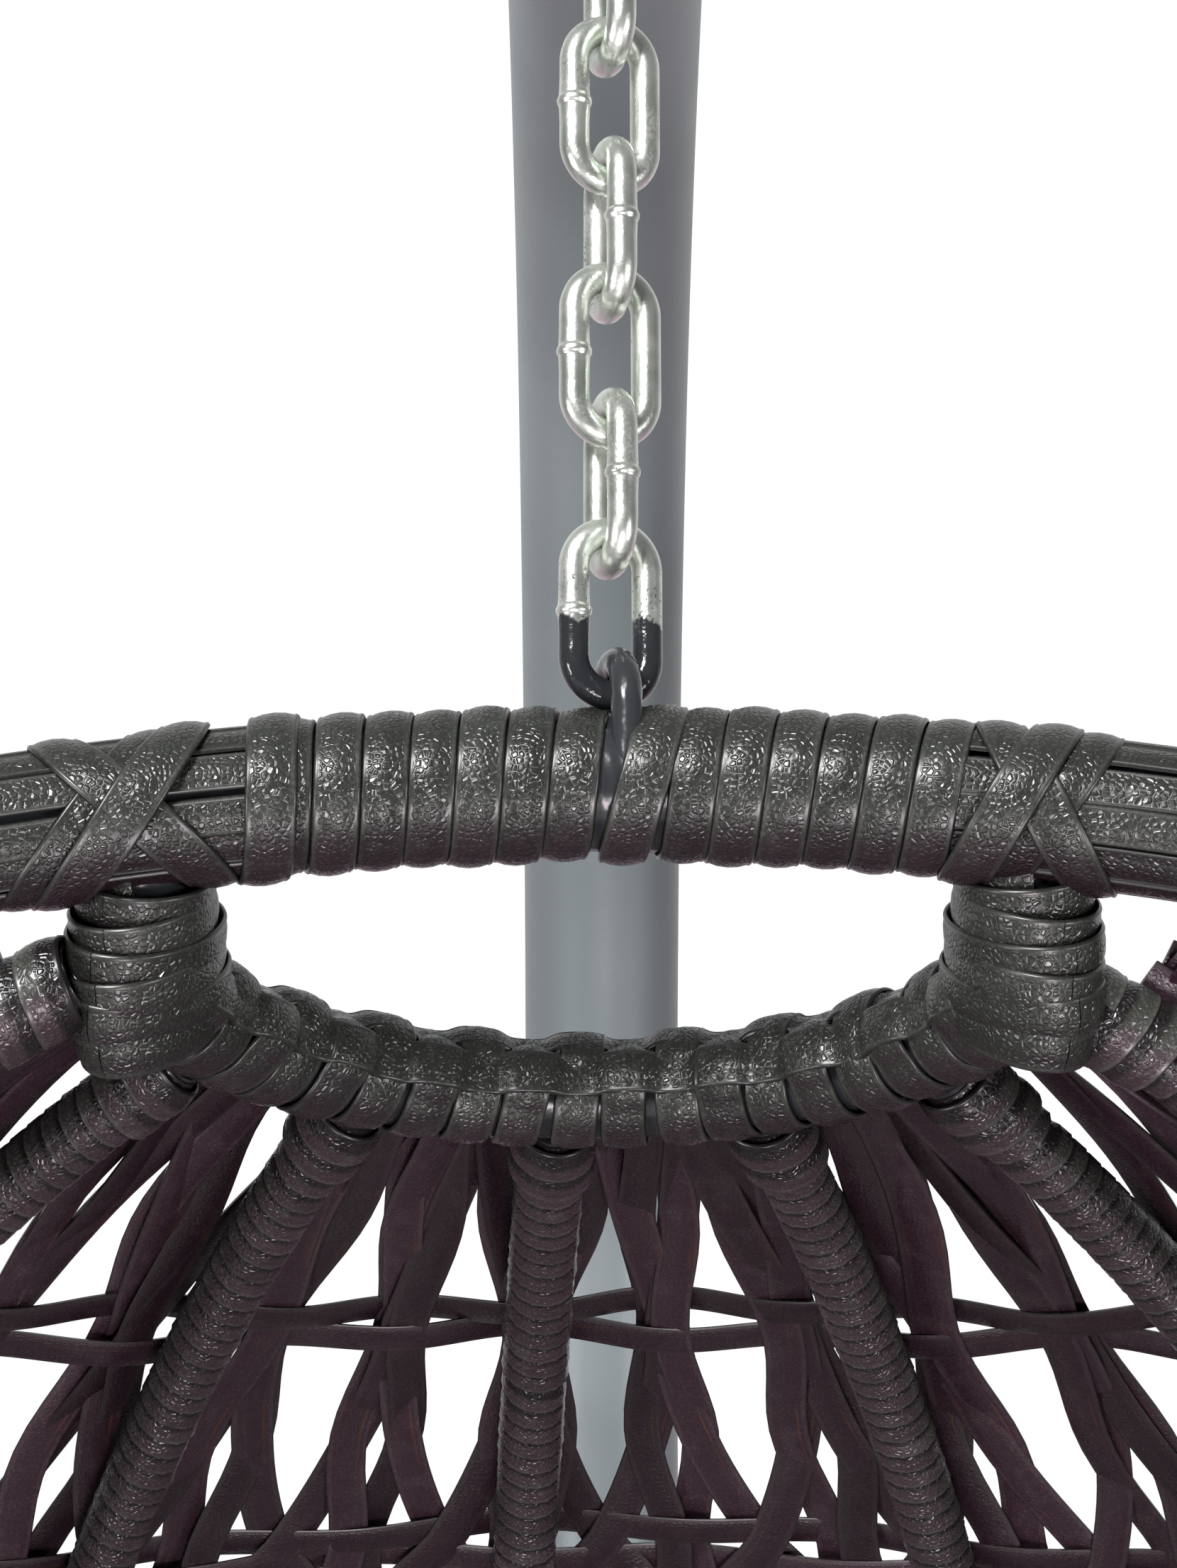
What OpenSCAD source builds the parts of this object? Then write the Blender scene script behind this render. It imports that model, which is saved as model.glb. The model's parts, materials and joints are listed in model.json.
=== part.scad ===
// Hanging wicker pod chair: steel stand, welded chain, and a steel frame
// wrapped and woven with flat plastic cane. Millimetres, +Z up, the floor at
// z = 0 under the middle of the base ring. The chair opens towards -Y.

/* [Stand] */
// Overall height of the stand, floor to the top of the arm
stand_h = 1950; // [1850:5:2050]
// Radius of the base ring, at the middle of its tube
ring_r = 465; // [440:5:540]
// Diameter of the base ring tube
ring_d = 38; // [32:1:42]
// Outer diameter of the pole
pole_d = 50; // [42:1:57]
// Distance of the upright pole behind the hanging point
pole_y = 440; // [425:5:470]
// Radius of the bend at the top of the pole
pole_bend_r = 390; // [300:5:410]
// Length of the arm past the hanging point
arm_over = 34; // [25:1:60]
// Wall of the stand tubes
stand_wall = 1.5; // [1:0.1:2.5]
// Height of the joint between the lower and upper pole
pole_joint_z = 980; // [700:10:1100]
// Length of the tube that joins the two poles
coupler_len = 200; // [120:10:260]
// Height of the socket that holds the pole
socket_h = 170; // [120:5:220]
// Wall of the socket
socket_wall = 3; // [2:0.5:4]
// Thickness of the rubber feet
foot_t = 6; // [4:1:12]

/* [Chain] */
// Diameter of the chain wire
wire_d = 6; // [5:0.5:7]
// Inner length of a chain link
link_in = 26.8; // [24:0.2:30]
// Outer width of a chain link
link_w = 21; // [19:0.5:24]
// How far the chain is turned about the plumb line
chain_turn = 18; // [0:1:25]
// Gap left between links where they bear on each other
link_gap = 0.25; // [0.1:0.05:0.4]
// Wire of the welded loop under the arm
hanger_d = 8; // [7:0.5:10]
// Wire of the snap hook
hook_d = 5; // [4:0.5:6]
// Length of the snap hook between the middles of its ends
hook_len = 45; // [42:1:60]
// Width of the snap hook between the middles of its legs
hook_w = 17; // [16:0.5:22]

/* [Rim] */
// Diameter of the rim tube
rim_d = 25; // [22:1:28]
// Half width of the rim
rim_w = 430; // [400:5:460]
// How much wider the rim is above its middle than below it
rim_egg = 0.11; // [0:0.01:0.16]
// Length of the rim from top to bottom, along its side profile
rim_len = 1113; // [1000:1:1160]
// Lean of the rim from upright at its top
rim_lean = 46; // [40:1:52]
// Radius of the rim's side profile
rim_side_r = 1020; // [900:1:1100]
// Wall of the rim tube
rim_wall = 1.2; // [1:0.1:2]
// Distance from the rim to the last chain link's wire
eye_rise = 17.6; // [17.2:0.1:24]
// Forward tilt at which the chair hangs in balance
hang_tilt = 0; // [-4:0.1:6]

/* [Crown and ribs] */
// Radius of the crown arc behind the top of the rim
crown_r = 88; // [80:1:110]
// Diameter of the crown tube
crown_d = 19; // [16:1:22]
// Slope of the crown arc, down towards the back
crown_tilt = 13; // [5:1:20]
// Sideways offset of the crown arc from the hanging eye
crown_side = -5; // [-8:1:8]
// Distance of the crown arc's middle in front of the hanging eye
crown_front = 12; // [8:1:14]
// Distance of the crown arc's middle below the rim
crown_drop = 32; // [30:1:36]
// Diameter of the rib tubes
rib_d = 12.7; // [10:0.1:14]
// Angle between neighbouring ribs, seen from above
rib_step = 27; // [24:0.5:27]
// Turn of the fan of ribs about the upright axis
fan_turn = -4; // [-6:1:6]
// Slope at which the ribs leave the crown
rib_slope = 26; // [20:1:34]
// Half width of the chair at the ribs
chair_half_w = 450; // [420:5:470]
// Depth of the chair behind the crown's middle
chair_back = 330; // [310:2:370]
// Wall of the rib, crown and seat tubes
frame_wall = 1; // [0.8:0.1:1.5]

/* [Seat and weave] */
// Radius of the seat ring
seat_r = 265; // [250:5:275]
// Diameter of the seat ring tube
seat_d = 22; // [19:1:25]
// Distance of the seat ring's middle behind the hanging point
seat_back = -4; // [-10:1:24]
// Diameter of the seat bars
bar_d = 16; // [12:1:19]
// Spacing of the seat bars
bar_step = 120; // [90:5:140]
// Depth of the woven bottom below the seat ring
dish_h = 118; // [90:2:140]
// Diameter of the waist hoop
waist_d = 12; // [10:1:14]
// Height of the waist hoop below the rim
waist_drop = 560; // [520:5:600]
// Thickness of one flat cane
cane_t = 1.1; // [0.8:0.1:1.5]
// Thickness of a closed sheet that weighs as much as the open weave
weave_t = 1.4; // [1.2:0.1:3]

/* [Hidden] */
gap = 0.3;                      // between pieces that are welded or lashed
weld = 3;                       // opens a hairline of 0.05 mm at a butt weld
$fn = 48;

// ---- stand, derived
arm_z = stand_h - pole_d / 2;
bend_y = pole_y - pole_bend_r;
bend_z = arm_z - pole_bend_r;
ring_z = foot_t + ring_d / 2;
spine_top = ring_z + ring_d / 2;
bar_cut = ring_d / 2 + gap;
sleeve_len = 8;                 // half angle of a ring sleeve, degrees
sleeve_screw = 42;              // ring joint to a screw
foot_step = 45;                 // angle between the feet
foot_d = ring_d - 8;
plate_z = spine_top + gap;
plate_t = 5;
web_t = 4;
web_len = 86;
web_h = 96;
socket_out = pole_d + 2 * gap + 2 * socket_wall;
plate_w = socket_out + 4;
pole_foot = plate_z + plate_t + gap;
screw_d = 8;
screw_z = [60, 130];            // above the foot of the pole

// ---- chain, derived, from the arm downwards
loop_r = hanger_d / 2 + 8;      // middle of the loop wire
loop_drop = 12.35;              // arm to the middle of the loop's lowest wire
loop_z = arm_z - pole_d / 2 - loop_drop;
hook_top = loop_z + (hanger_d + hook_d) / 2 + link_gap;
hook_bot = hook_top - hook_len;
link_c = link_in + wire_d;      // middle of one bow to middle of the other
link_step = link_in - link_gap;
top_link = hook_bot + (hook_d + wire_d) / 2 + link_gap;
n_links = 6;
function link_bot(k) = top_link - link_c - (n_links - k) * link_step;
hang_z = link_bot(1);           // wire that the chair's eye hangs on
rim_z = hang_z - eye_rise;      // middle of the rim tube at its top

// ---- rim, derived. s runs from 0 at the top to 180 at the bottom
rim_r = rim_d / 2;
cover_in = rim_r + gap + 0.1;
cover_out = rim_r + 2 * cane_t;
function rim_u(s) = rim_len / 2 * (1 - cos(s));
function rim_a(s) = rim_lean - rim_u(s) / rim_side_r * 180 / PI;
function rim_p(s) = [rim_w * sin(s) * (1 + rim_egg * cos(s)),
    -rim_side_r * (cos(rim_a(s)) - cos(rim_lean)),
    -rim_side_r * (sin(rim_lean) - sin(rim_a(s)))];
function rim_n(s) = [0, -cos(rim_a(s)), sin(rim_a(s))];
function unit(v) = v / norm(v);
function rim_t(s) = unit(rim_p(s + 0.1) - rim_p(s - 0.1));
function rim_b(s) = unit(cross(rim_n(s), rim_t(s)));
function s_at(x) = asin(x / rim_w / (1 + rim_egg));

// ---- crown and ribs, derived, in planes through the upright crown axis.
// az is measured from straight back, positive towards +X
axis = [crown_side, -crown_front, -crown_drop];
crown_end = 85;
strut_at = 74;
braid_out = crown_d / 2 + 3 * cane_t;
coil_out = rib_d / 2 + cane_t;
ribs = [for (k = [-3:3]) fan_turn + k * rib_step];
function crown_az(az) = atan2(sin(az) * cos(crown_tilt), cos(az));
function crown_rad(az) = let (a = crown_az(az))
    crown_r * sqrt(pow(sin(a), 2) + pow(cos(a) * cos(crown_tilt), 2));
function crown_z(az) = -crown_r * cos(crown_az(az)) * sin(crown_tilt);
function wide(az) =
    1 / sqrt(pow(sin(az) / chair_half_w, 2) + pow(cos(az) / chair_back, 2));
function up_r(az) = (wide(az) - crown_rad(az)) / (1 - sin(rib_slope));
function mid_z(az) = crown_z(az) - up_r(az) * cos(rib_slope);
seat_z = rim_p(180)[2] - cover_out - gap - seat_d / 2;
rib_end_z = seat_z + seat_d / 2 + gap;
seat_off = seat_back + crown_front;
function seat_rad(az) =
    seat_off * cos(az) + sqrt(pow(seat_r, 2) - pow(seat_off * sin(az), 2));
function low_dr(az) = wide(az) - seat_rad(az);
function low_dz(az) = mid_z(az) - (seat_z - axis[2]);
function low_turn(az) = 2 * atan(low_dr(az) / low_dz(az));
function low_r(az) = low_dz(az) / sin(low_turn(az));
// A point of a rib's plane, [radius, height], d mm outside the rib's middle.
// t runs from 0 at the crown to 1 at the middle and 2 at the seat ring
function rib_q(az, t, d = 0) = t < 1
    ? let (a = rib_slope + (90 - rib_slope) * t)
        [wide(az) - up_r(az) + (up_r(az) + d) * sin(a),
            mid_z(az) + (up_r(az) + d) * cos(a)]
    : let (a = low_turn(az) * (t - 1))
        [wide(az) - low_r(az) + (low_r(az) + d) * cos(a),
            mid_z(az) - (low_r(az) + d) * sin(a)];
function rib_p(az, t, d = 0) = let (q = rib_q(az, t, d))
    axis + [q[0] * sin(az), q[0] * cos(az), q[1]];
function crown_p(a) = axis + [crown_r * sin(a),
    crown_r * cos(a) * cos(crown_tilt), -crown_r * cos(a) * sin(crown_tilt)];

// ---- weave, derived
weave_clear = coil_out + gap + 0.9;
weave_rows = 20;
function weave_t0(az) = 20 / (up_r(az) * (90 - rib_slope) * PI / 180);
weave_t1 = 1.97;
strut_ends = [for (side = [-1, 1]) let (a = crown_p(side * strut_at),
    s = s_at(abs(a[0]))) [[side * rim_p(s)[0], rim_p(s)[1], rim_p(s)[2]], a]];

// ---- helpers
function ring_of(p, u, v, r, n) =
    [for (i = [0:n - 1]) p + r * (cos(360 * i / n) * u + sin(360 * i / n) * v)];

// A hollow tube through frames [point, across, across], open at both ends
module pipe(frames, r_out, r_in, n = 12) {
    m = len(frames);
    points = [for (r = [r_out, r_in], f = frames)
        each ring_of(f[0], f[1], f[2], r, n)];
    wall = [for (shell = [0, 1], i = [0:m - 2], j = [0:n - 1])
        let (a = (shell * m + i) * n, k = (j + 1) % n)
        shell == 0 ? [a + j, a + k, a + n + k, a + n + j]
            : [a + j, a + n + j, a + n + k, a + k]];
    ends = [for (e = [0, 1], j = [0:n - 1])
        let (a = e * (m - 1) * n, b = a + m * n, k = (j + 1) % n)
        e == 0 ? [a + j, b + j, b + k, a + k] : [a + j, a + k, b + k, b + j]];
    polyhedron(points, concat(wall, ends), convexity = 6);
}

// A sheet through a grid of points, with its outer and inner faces
module sheet(outer, inner) {
    m = len(outer);
    n = len(outer[0]);
    points = concat([for (row = outer) each row], [for (row = inner) each row]);
    faces = [for (f = [0, 1], i = [0:m - 2], j = [0:n - 2])
        let (a = f * m * n + i * n + j)
        each f == 0 ? [[a, a + 1, a + n + 1], [a, a + n + 1, a + n]]
            : [[a, a + n + 1, a + 1], [a, a + n, a + n + 1]]];
    border = concat([for (j = [0:n - 2]) j],
        [for (i = [0:m - 2]) i * n + n - 1],
        [for (j = [n - 1:-1:1]) (m - 1) * n + j],
        [for (i = [m - 1:-1:1]) i * n]);
    b = len(border);
    sides = [for (i = [0:b - 1]) let (p = border[i], q = border[(i + 1) % b],
        h = m * n) each [[p, p + h, q + h], [p, q + h, q]]];
    polyhedron(points, concat(faces, sides), convexity = 6);
}

module rod(a, b, d) {
    v = b - a;
    translate(a) rotate([0, acos(v[2] / norm(v)), atan2(v[1], v[0])])
        cylinder(d = d, h = norm(v));
}

// The chair's pieces are drawn from the middle of the rim at its top
module hung() {
    translate([0, 0, hang_z]) rotate([-hang_tilt, 0, 0])
        translate([0, 0, -eye_rise]) children();
}

module annulus(d, wall) {
    difference() {
        circle(d = d);
        circle(d = d - 2 * wall);
    }
}

// ---- stand
module ring_half() {
    color("slategray") translate([0, 0, ring_z])
        difference() {
            rotate([0, 0, -90 + gap / 15]) rotate_extrude(angle = 180 - gap / 7.5,
                $fn = 180) translate([ring_r, 0]) annulus(ring_d, stand_wall);
            for (a = [-90, 90]) rotate([0, 0, a])
                translate([ring_r, 0, 0]) ring_screw_hole();
        }
}
module ring_screw_hole() {
    for (side = [-1, 1])
        translate([0, side * sleeve_screw, -ring_d])
        cylinder(d = 7, h = 2 * ring_d);
}
module base_ring_right() ring_half();
module base_ring_left() rotate([0, 0, 180]) ring_half();

module ring_sleeves() {
    color("slategray") for (a = [90, -90]) rotate([0, 0, a])
        translate([0, 0, ring_z]) difference() {
            rotate([0, 0, -sleeve_len]) rotate_extrude(angle = 2 * sleeve_len,
                $fn = 180) translate([ring_r, 0])
                annulus(ring_d - 2 * stand_wall - gap, 2);
            translate([ring_r, 0, 0]) ring_screw_hole();
        }
}

module ring_screws() {
    color("silver") for (a = [90, -90], side = [-1, 1]) rotate([0, 0, a])
        translate([ring_r, side * sleeve_screw, ring_z]) {
            translate([0, 0, -ring_d / 2 + 3]) cylinder(d = 5.8, h = ring_d);
            translate([0, 0, ring_d / 2 + 0.6]) cylinder(d = 12, h = 3.4);
        }
}

module bar_tube(a, b) {
    difference() {
        rod(a, b, ring_d);
        rod(a - unit(b - a), b + unit(b - a), ring_d - 2 * stand_wall);
        translate([0, 0, ring_z]) rotate_extrude($fn = 180)
            translate([ring_r, 0]) circle(r = bar_cut);
    }
}
module base_spine() {
    color("slategray") bar_tube([0, -ring_r, ring_z], [0, ring_r, ring_z]);
}
module crossbar() {
    color("slategray") difference() {
        bar_tube([0, 0, ring_z], [ring_r, 0, ring_z]);
        rod([0, -ring_r, ring_z], [0, ring_r, ring_z], 2 * bar_cut);
    }
}
module crossbar_right() crossbar();
module crossbar_left() rotate([0, 0, 180]) crossbar();

// Upright sleeve on a plate that is welded on the spine, with a web in front
module pole_socket() {
    color("dimgray") difference() {
        union() {
            translate([0, pole_y, plate_z]) cylinder(d = socket_out, h = socket_h);
            translate([-plate_w / 2, pole_y - web_len, plate_z])
                cube([plate_w, web_len + socket_out / 2, plate_t]);
            translate([-web_t / 2, pole_y - web_len, plate_z + plate_t - 1])
                rotate([90, 0, 90]) linear_extrude(web_t)
                polygon([[0, 0], [web_len - pole_d / 2 - 1, 0],
                    [web_len - pole_d / 2 - 1, web_h], [0, 8]]);
        }
        translate([0, pole_y, plate_z + plate_t])
            cylinder(d = pole_d + 2 * gap, h = stand_h);
        screw_holes(screw_d + 1);
    }
}
module screw_holes(d) {
    for (h = screw_z) translate([-pole_d, pole_y, pole_foot + h])
        rotate([0, 90, 0]) cylinder(d = d, h = 2 * pole_d);
}

module lower_pole() {
    color("slategray") difference() {
        translate([0, pole_y, pole_foot])
            cylinder(d = pole_d, h = pole_joint_z - pole_foot);
        translate([0, pole_y, pole_foot - 1])
            cylinder(d = pole_d - 2 * stand_wall, h = pole_joint_z);
        screw_holes(screw_d + 1);
        coupler_hole(-1);
    }
}
module coupler_hole(side) {
    translate([-pole_d, pole_y, pole_joint_z + side * coupler_len * 0.3])
        rotate([0, 90, 0]) cylinder(d = screw_d + 1, h = 2 * pole_d);
}

module pole_coupler() {
    color("dimgray") difference() {
        translate([0, pole_y, pole_joint_z - coupler_len / 2])
            cylinder(d = pole_d - 2 * stand_wall - gap, h = coupler_len);
        translate([0, pole_y, 0])
            cylinder(d = pole_d - 2 * stand_wall - 5, h = stand_h);
        coupler_hole(-1);
        coupler_hole(1);
    }
}

module upper_pole() {
    color("slategray") difference() {
        union() {
            translate([0, pole_y, pole_joint_z + gap])
                linear_extrude(bend_z - pole_joint_z - gap)
                annulus(pole_d, stand_wall);
            translate([0, bend_y, bend_z]) rotate([90, 0, 90])
                rotate_extrude(angle = 90, $fn = 180)
                translate([pole_bend_r, 0]) annulus(pole_d, stand_wall);
            translate([0, bend_y, arm_z]) rotate([90, 0, 0])
                linear_extrude(bend_y + arm_over) annulus(pole_d, stand_wall);
        }
        coupler_hole(1);
    }
}

module pole_cap() {
    color("black") translate([0, -arm_over, arm_z]) rotate([90, 0, 0]) {
        translate([0, 0, gap]) rotate_extrude() {
            square([pole_d / 2 - 2, 5]);
            square([pole_d / 2, 3]);
            translate([pole_d / 2 - 2, 3]) circle(r = 2);
        }
        translate([0, 0, -14]) linear_extrude(15)
            annulus(pole_d - 2 * stand_wall - gap, 2);
    }
}

module screw(z) {
    reach = pole_d / 2 + gap + socket_wall;
    translate([0, pole_y, z]) rotate([0, 90, 0]) {
        translate([0, 0, -reach - gap]) cylinder(d = screw_d, h = 2 * reach + 9);
        translate([0, 0, -reach - gap - 5]) cylinder(d = 13, h = 5, $fn = 6);
        translate([0, 0, reach + gap]) cylinder(d = 13, h = 6.5, $fn = 6);
    }
}
module pole_screws() {
    color("silver") {
        for (h = screw_z) screw(pole_foot + h);
        for (side = [-1, 1]) translate([0, pole_y, pole_joint_z
            + side * coupler_len * 0.3]) rotate([0, 90, 0]) {
            cylinder(d = screw_d, h = pole_d + 8, center = true);
            translate([0, 0, pole_d / 2 + gap]) cylinder(d = 15, h = 4);
            translate([0, 0, -pole_d / 2 - gap - 4]) cylinder(d = 15, h = 4);
        }
    }
}

module rubber_feet() {
    color("black") for (a = [foot_step / 2:foot_step:360]) rotate([0, 0, a])
        translate([ring_r, 0, 0]) difference() {
            cylinder(d = foot_d, h = foot_t + 5);
            translate([0, 0, ring_z]) rotate([90, 0, 0])
                cylinder(d = ring_d + 2 * gap, h = 2 * foot_d, center = true);
        }
}

// ---- hanging gear
module hanger_loop() {
    color("slategray") difference() {
        translate([0, 0, loop_z + loop_r]) {
            rotate([90, 0, 90]) rotate([0, 0, 180]) rotate_extrude(angle = 180)
                translate([loop_r, 0]) circle(d = hanger_d);
            for (side = [-1, 1]) translate([0, side * loop_r, 0])
                cylinder(d = hanger_d, h = arm_z - loop_z - loop_r);
        }
        translate([0, -arm_over - 50, arm_z]) rotate([-90, 0, 0])
            cylinder(d = pole_d + 2 * 0.1, h = 500);
    }
}

gate_lo = -10.5;
gate_hi = 9;
gate_x = hook_w / 2;
hook_mid = (hook_top + hook_bot) / 2;
lug_t = 1.8;
pin_d = 2;

module hook_frame() {
    rotate([0, 0, chain_turn]) translate([0, 0, hook_mid]) children();
}
module stadium(len, w, d) {
    straight = len - w;
    for (side = [-1, 1]) {
        translate([0, 0, side * straight / 2]) rotate([90, 0, 0])
            rotate([0, 0, side > 0 ? 0 : 180]) rotate_extrude(angle = 180)
            translate([w / 2, 0]) circle(d = d);
        translate([side * w / 2, 0, -straight / 2]) cylinder(d = d, h = straight);
    }
}
module snap_hook() {
    color("silver") hook_frame() difference() {
        union() {
            difference() {
                stadium(hook_len, hook_w, hook_d);
                translate([gate_x - hook_d, -hook_d, gate_lo - 2.4])
                    cube([2 * hook_d, 2 * hook_d, gate_hi - gate_lo + 2.4 + gap]);
            }
            translate([gate_x, 0, gate_lo]) rotate([90, 0, 0])
                cylinder(r = 2.2, h = lug_t, center = true);
            translate([gate_x - 2.2, -lug_t / 2, gate_lo - 2.6])
                cube([4.4, lug_t, 2.6]);
        }
        translate([gate_x, 0, gate_lo]) rotate([90, 0, 0])
            cylinder(d = pin_d, h = 20, center = true);
    }
}
module snap_gate() {
    color("gainsboro") hook_frame() difference() {
        union() {
            translate([gate_x, 0, gate_lo])
                cylinder(d = hook_d, h = gate_hi - gate_lo);
            intersection() {
                translate([gate_x, 0, gate_lo]) rotate([90, 0, 0])
                    cylinder(r = 2.2, h = hook_d, center = true);
                translate([gate_x, 0, gate_lo - 5]) cylinder(d = hook_d, h = 10);
            }
        }
        translate([gate_x - 5, -lug_t / 2 - gap, gate_lo - 5])
            cube([10, lug_t + 2 * gap, 5 + 3]);
        translate([gate_x, 0, gate_lo]) rotate([90, 0, 0])
            cylinder(d = pin_d + 0.12, h = 20, center = true);
    }
}
module gate_pin() {
    color("silver") hook_frame() translate([gate_x, 0, gate_lo])
        rotate([90, 0, 0]) cylinder(d = pin_d, h = hook_d + 0.4, center = true);
}

module chain_link(k) {
    w = link_w - wire_d;
    color("gainsboro") rotate([0, 0, chain_turn + (k % 2 == 0 ? 90 : 0)])
        translate([0, 0, link_bot(k) + link_c / 2]) {
            stadium(link_c, w, wire_d);
            translate([-w / 2, 0, 0]) rotate_extrude()
                polygon([[0, -2.2], [wire_d / 2, -2.2],
                    [wire_d / 2 + 0.35, -0.9], [wire_d / 2 + 0.35, 0.9],
                    [wire_d / 2, 2.2], [0, 2.2]]);
        }
}
module chain_link_1() chain_link(1);
module chain_link_2() chain_link(2);
module chain_link_3() chain_link(3);
module chain_link_4() chain_link(4);
module chain_link_5() chain_link(5);
module chain_link_6() chain_link(6);

// Loop of rod that stands over the top of the rim
eye_r = 10;
module hanging_eye() {
    top = eye_rise + wire_d + link_gap;
    color("dimgray") hung() difference() {
        translate([0, 0, top - eye_r]) {
            rotate([90, 0, 90]) rotate_extrude(angle = 180)
                translate([eye_r, 0]) circle(d = wire_d);
            for (side = [-1, 1]) translate([0, side * eye_r, -14])
                cylinder(d = wire_d, h = 14);
        }
        rotate([0, 90, 0]) cylinder(r = rim_r + 0.1, h = 40, center = true);
        translate([-20, -20, -20]) cube([40, 40, 20]);
    }
}

// ---- chair frame
rim_steps = 58;
module rim_piece(s0, s1, r_out, r_in, steps) {
    pipe([for (i = [0:steps]) let (s = s0 + (s1 - s0) * i / steps)
        [rim_p(s), rim_n(s), rim_b(s)]], r_out, r_in);
}
module rim_half(side) {
    color("dimgray") hung() mirror([side < 0 ? 1 : 0, 0, 0])
        rim_piece(0, 180, rim_r, rim_r - rim_wall, rim_steps);
}
module rim_left() rim_half(-1);
module rim_right() rim_half(1);

coil_half = 68;                 // the coil's reach each side of the eye
lash_in = 73;
lash_out = 104;
module rim_coil() {
    color("darkslategray") hung() for (side = [0, 1]) mirror([side, 0, 0])
        rim_piece(s_at(wire_d / 2 + 1), s_at(coil_half), cover_out, cover_in, 6);
}
module strut_line(i, d) {
    rod(strut_ends[i][0], strut_ends[i][1], d);
}
module lashing(i) {
    color("darkslategray") hung() difference() {
        mirror([i == 0 ? 1 : 0, 0, 0])
            rim_piece(s_at(lash_in), s_at(lash_out), cover_out, cover_in, 3);
        strut_line(i, crown_d + 4 * cane_t);
    }
}
module lashing_left() lashing(0);
module lashing_right() lashing(1);
module rim_cover(side) {
    color("darkslategray") hung() mirror([side < 0 ? 1 : 0, 0, 0])
        rim_piece(s_at(lash_out + 1), 179.9, cover_out, cover_in, 56);
}
module rim_cover_left() rim_cover(-1);
module rim_cover_right() rim_cover(1);

module crown_sweep(half, d, wall) {
    translate(axis) rotate([-crown_tilt, 0, 0]) rotate([0, 0, 90 - half])
        rotate_extrude(angle = 2 * half, $fn = 96)
        translate([crown_r, 0]) annulus(d, wall);
}
module crown_arc() {
    color("dimgray") hung() crown_sweep(crown_end, crown_d, frame_wall);
}
module crown_braid() {
    color("darkslategray") hung() difference() {
        crown_sweep(crown_end, 2 * braid_out, braid_out - crown_d / 2 - gap);
        for (az = ribs) rod(rib_p(az, 0), rib_p(az, 0.06), 2 * coil_out + 2 * gap);
        for (i = [0, 1]) strut_line(i, crown_d + 2 * cane_t + 2 * gap);
    }
}

module strut(i, d_out, d_in, in_rim, in_crown) {
    a = strut_ends[i][0];
    b = strut_ends[i][1];
    s = s_at(abs(a[0]));
    t = rim_t(s);
    across = [i == 0 ? -t[0] : t[0], t[1], t[2]];
    hung() difference() {
        rod(a, b, d_out);
        rod(a - unit(b - a), b + unit(b - a), d_in);
        rod(a - 60 * across, a + 60 * across, 2 * in_rim);
        translate(axis) rotate([-crown_tilt, 0, 0]) rotate_extrude($fn = 96)
            translate([crown_r, 0]) circle(r = in_crown);
    }
}
module strut_left() color("dimgray")
    strut(0, crown_d, crown_d - 2 * frame_wall, rim_r + gap, crown_d / 2 + gap);
module strut_right() color("dimgray")
    strut(1, crown_d, crown_d - 2 * frame_wall, rim_r + gap, crown_d / 2 + gap);
module strut_coils() {
    color("darkslategray") for (i = [0, 1])
        strut(i, crown_d + 2 * cane_t, crown_d + 2 * gap,
            cover_out + gap, braid_out + gap);
}

// One rib or its wrapping: an upper arc and a lower arc, welded where they
// stand upright
module rib_sweep(az, d, wall, start) {
    skip = start / up_r(az) * 180 / PI;
    hung() translate(axis) rotate([0, 0, -az]) {
        translate([0, wide(az) - up_r(az), mid_z(az)]) rotate([90, 0, 90])
            rotate([0, 0, weld / up_r(az)])
            rotate_extrude(angle = 90 - rib_slope - skip, $fn = 180)
            translate([up_r(az), 0]) annulus(d, wall);
        difference() {
            translate([0, wide(az) - low_r(az), mid_z(az)]) rotate([90, 0, 90])
                rotate([0, 0, -low_turn(az)])
                rotate_extrude(angle = low_turn(az), $fn = 180)
                translate([low_r(az), 0]) annulus(d, wall);
            translate([-50, 0, rib_end_z - axis[2] - 100]) cube([100, 500, 100]);
        }
    }
}
module rib(k) color("dimgray")
    rib_sweep(ribs[k - 1], rib_d, frame_wall, crown_d / 2 + 2 * gap);
module rib_1() rib(1);
module rib_2() rib(2);
module rib_3() rib(3);
module rib_4() rib(4);
module rib_5() rib(5);
module rib_6() rib(6);
module rib_7() rib(7);
module rib_coils() {
    color("darkslategray") for (az = ribs)
        rib_sweep(az, 2 * coil_out, cane_t - 1.7 * gap, crown_d / 2 + 2);
}

// Hoop inside the ribs, from the first to the last
function waist_rad(az) = let (z = -waist_drop - axis[2],
    up = z > mid_z(az), r = up ? up_r(az) : low_r(az))
    wide(az) - r + sqrt(r * r - pow(z - mid_z(az), 2));
function waist_p(az) = let (r = waist_rad(az) - coil_out - 2 * gap - waist_d / 2)
    axis + [r * sin(az), r * cos(az), -waist_drop - axis[2]];
module waist_hoop() {
    a0 = ribs[0] - 1;
    a1 = ribs[6] + 1;
    steps = 28;
    color("dimgray") hung() pipe([for (i = [0:steps])
        let (az = a0 + (a1 - a0) * i / steps, p = waist_p(az),
            t = unit(waist_p(az + 0.1) - waist_p(az - 0.1)))
        [p, [0, 0, 1], cross([0, 0, 1], t)]],
        waist_d / 2, waist_d / 2 - frame_wall, 10);
}

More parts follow.
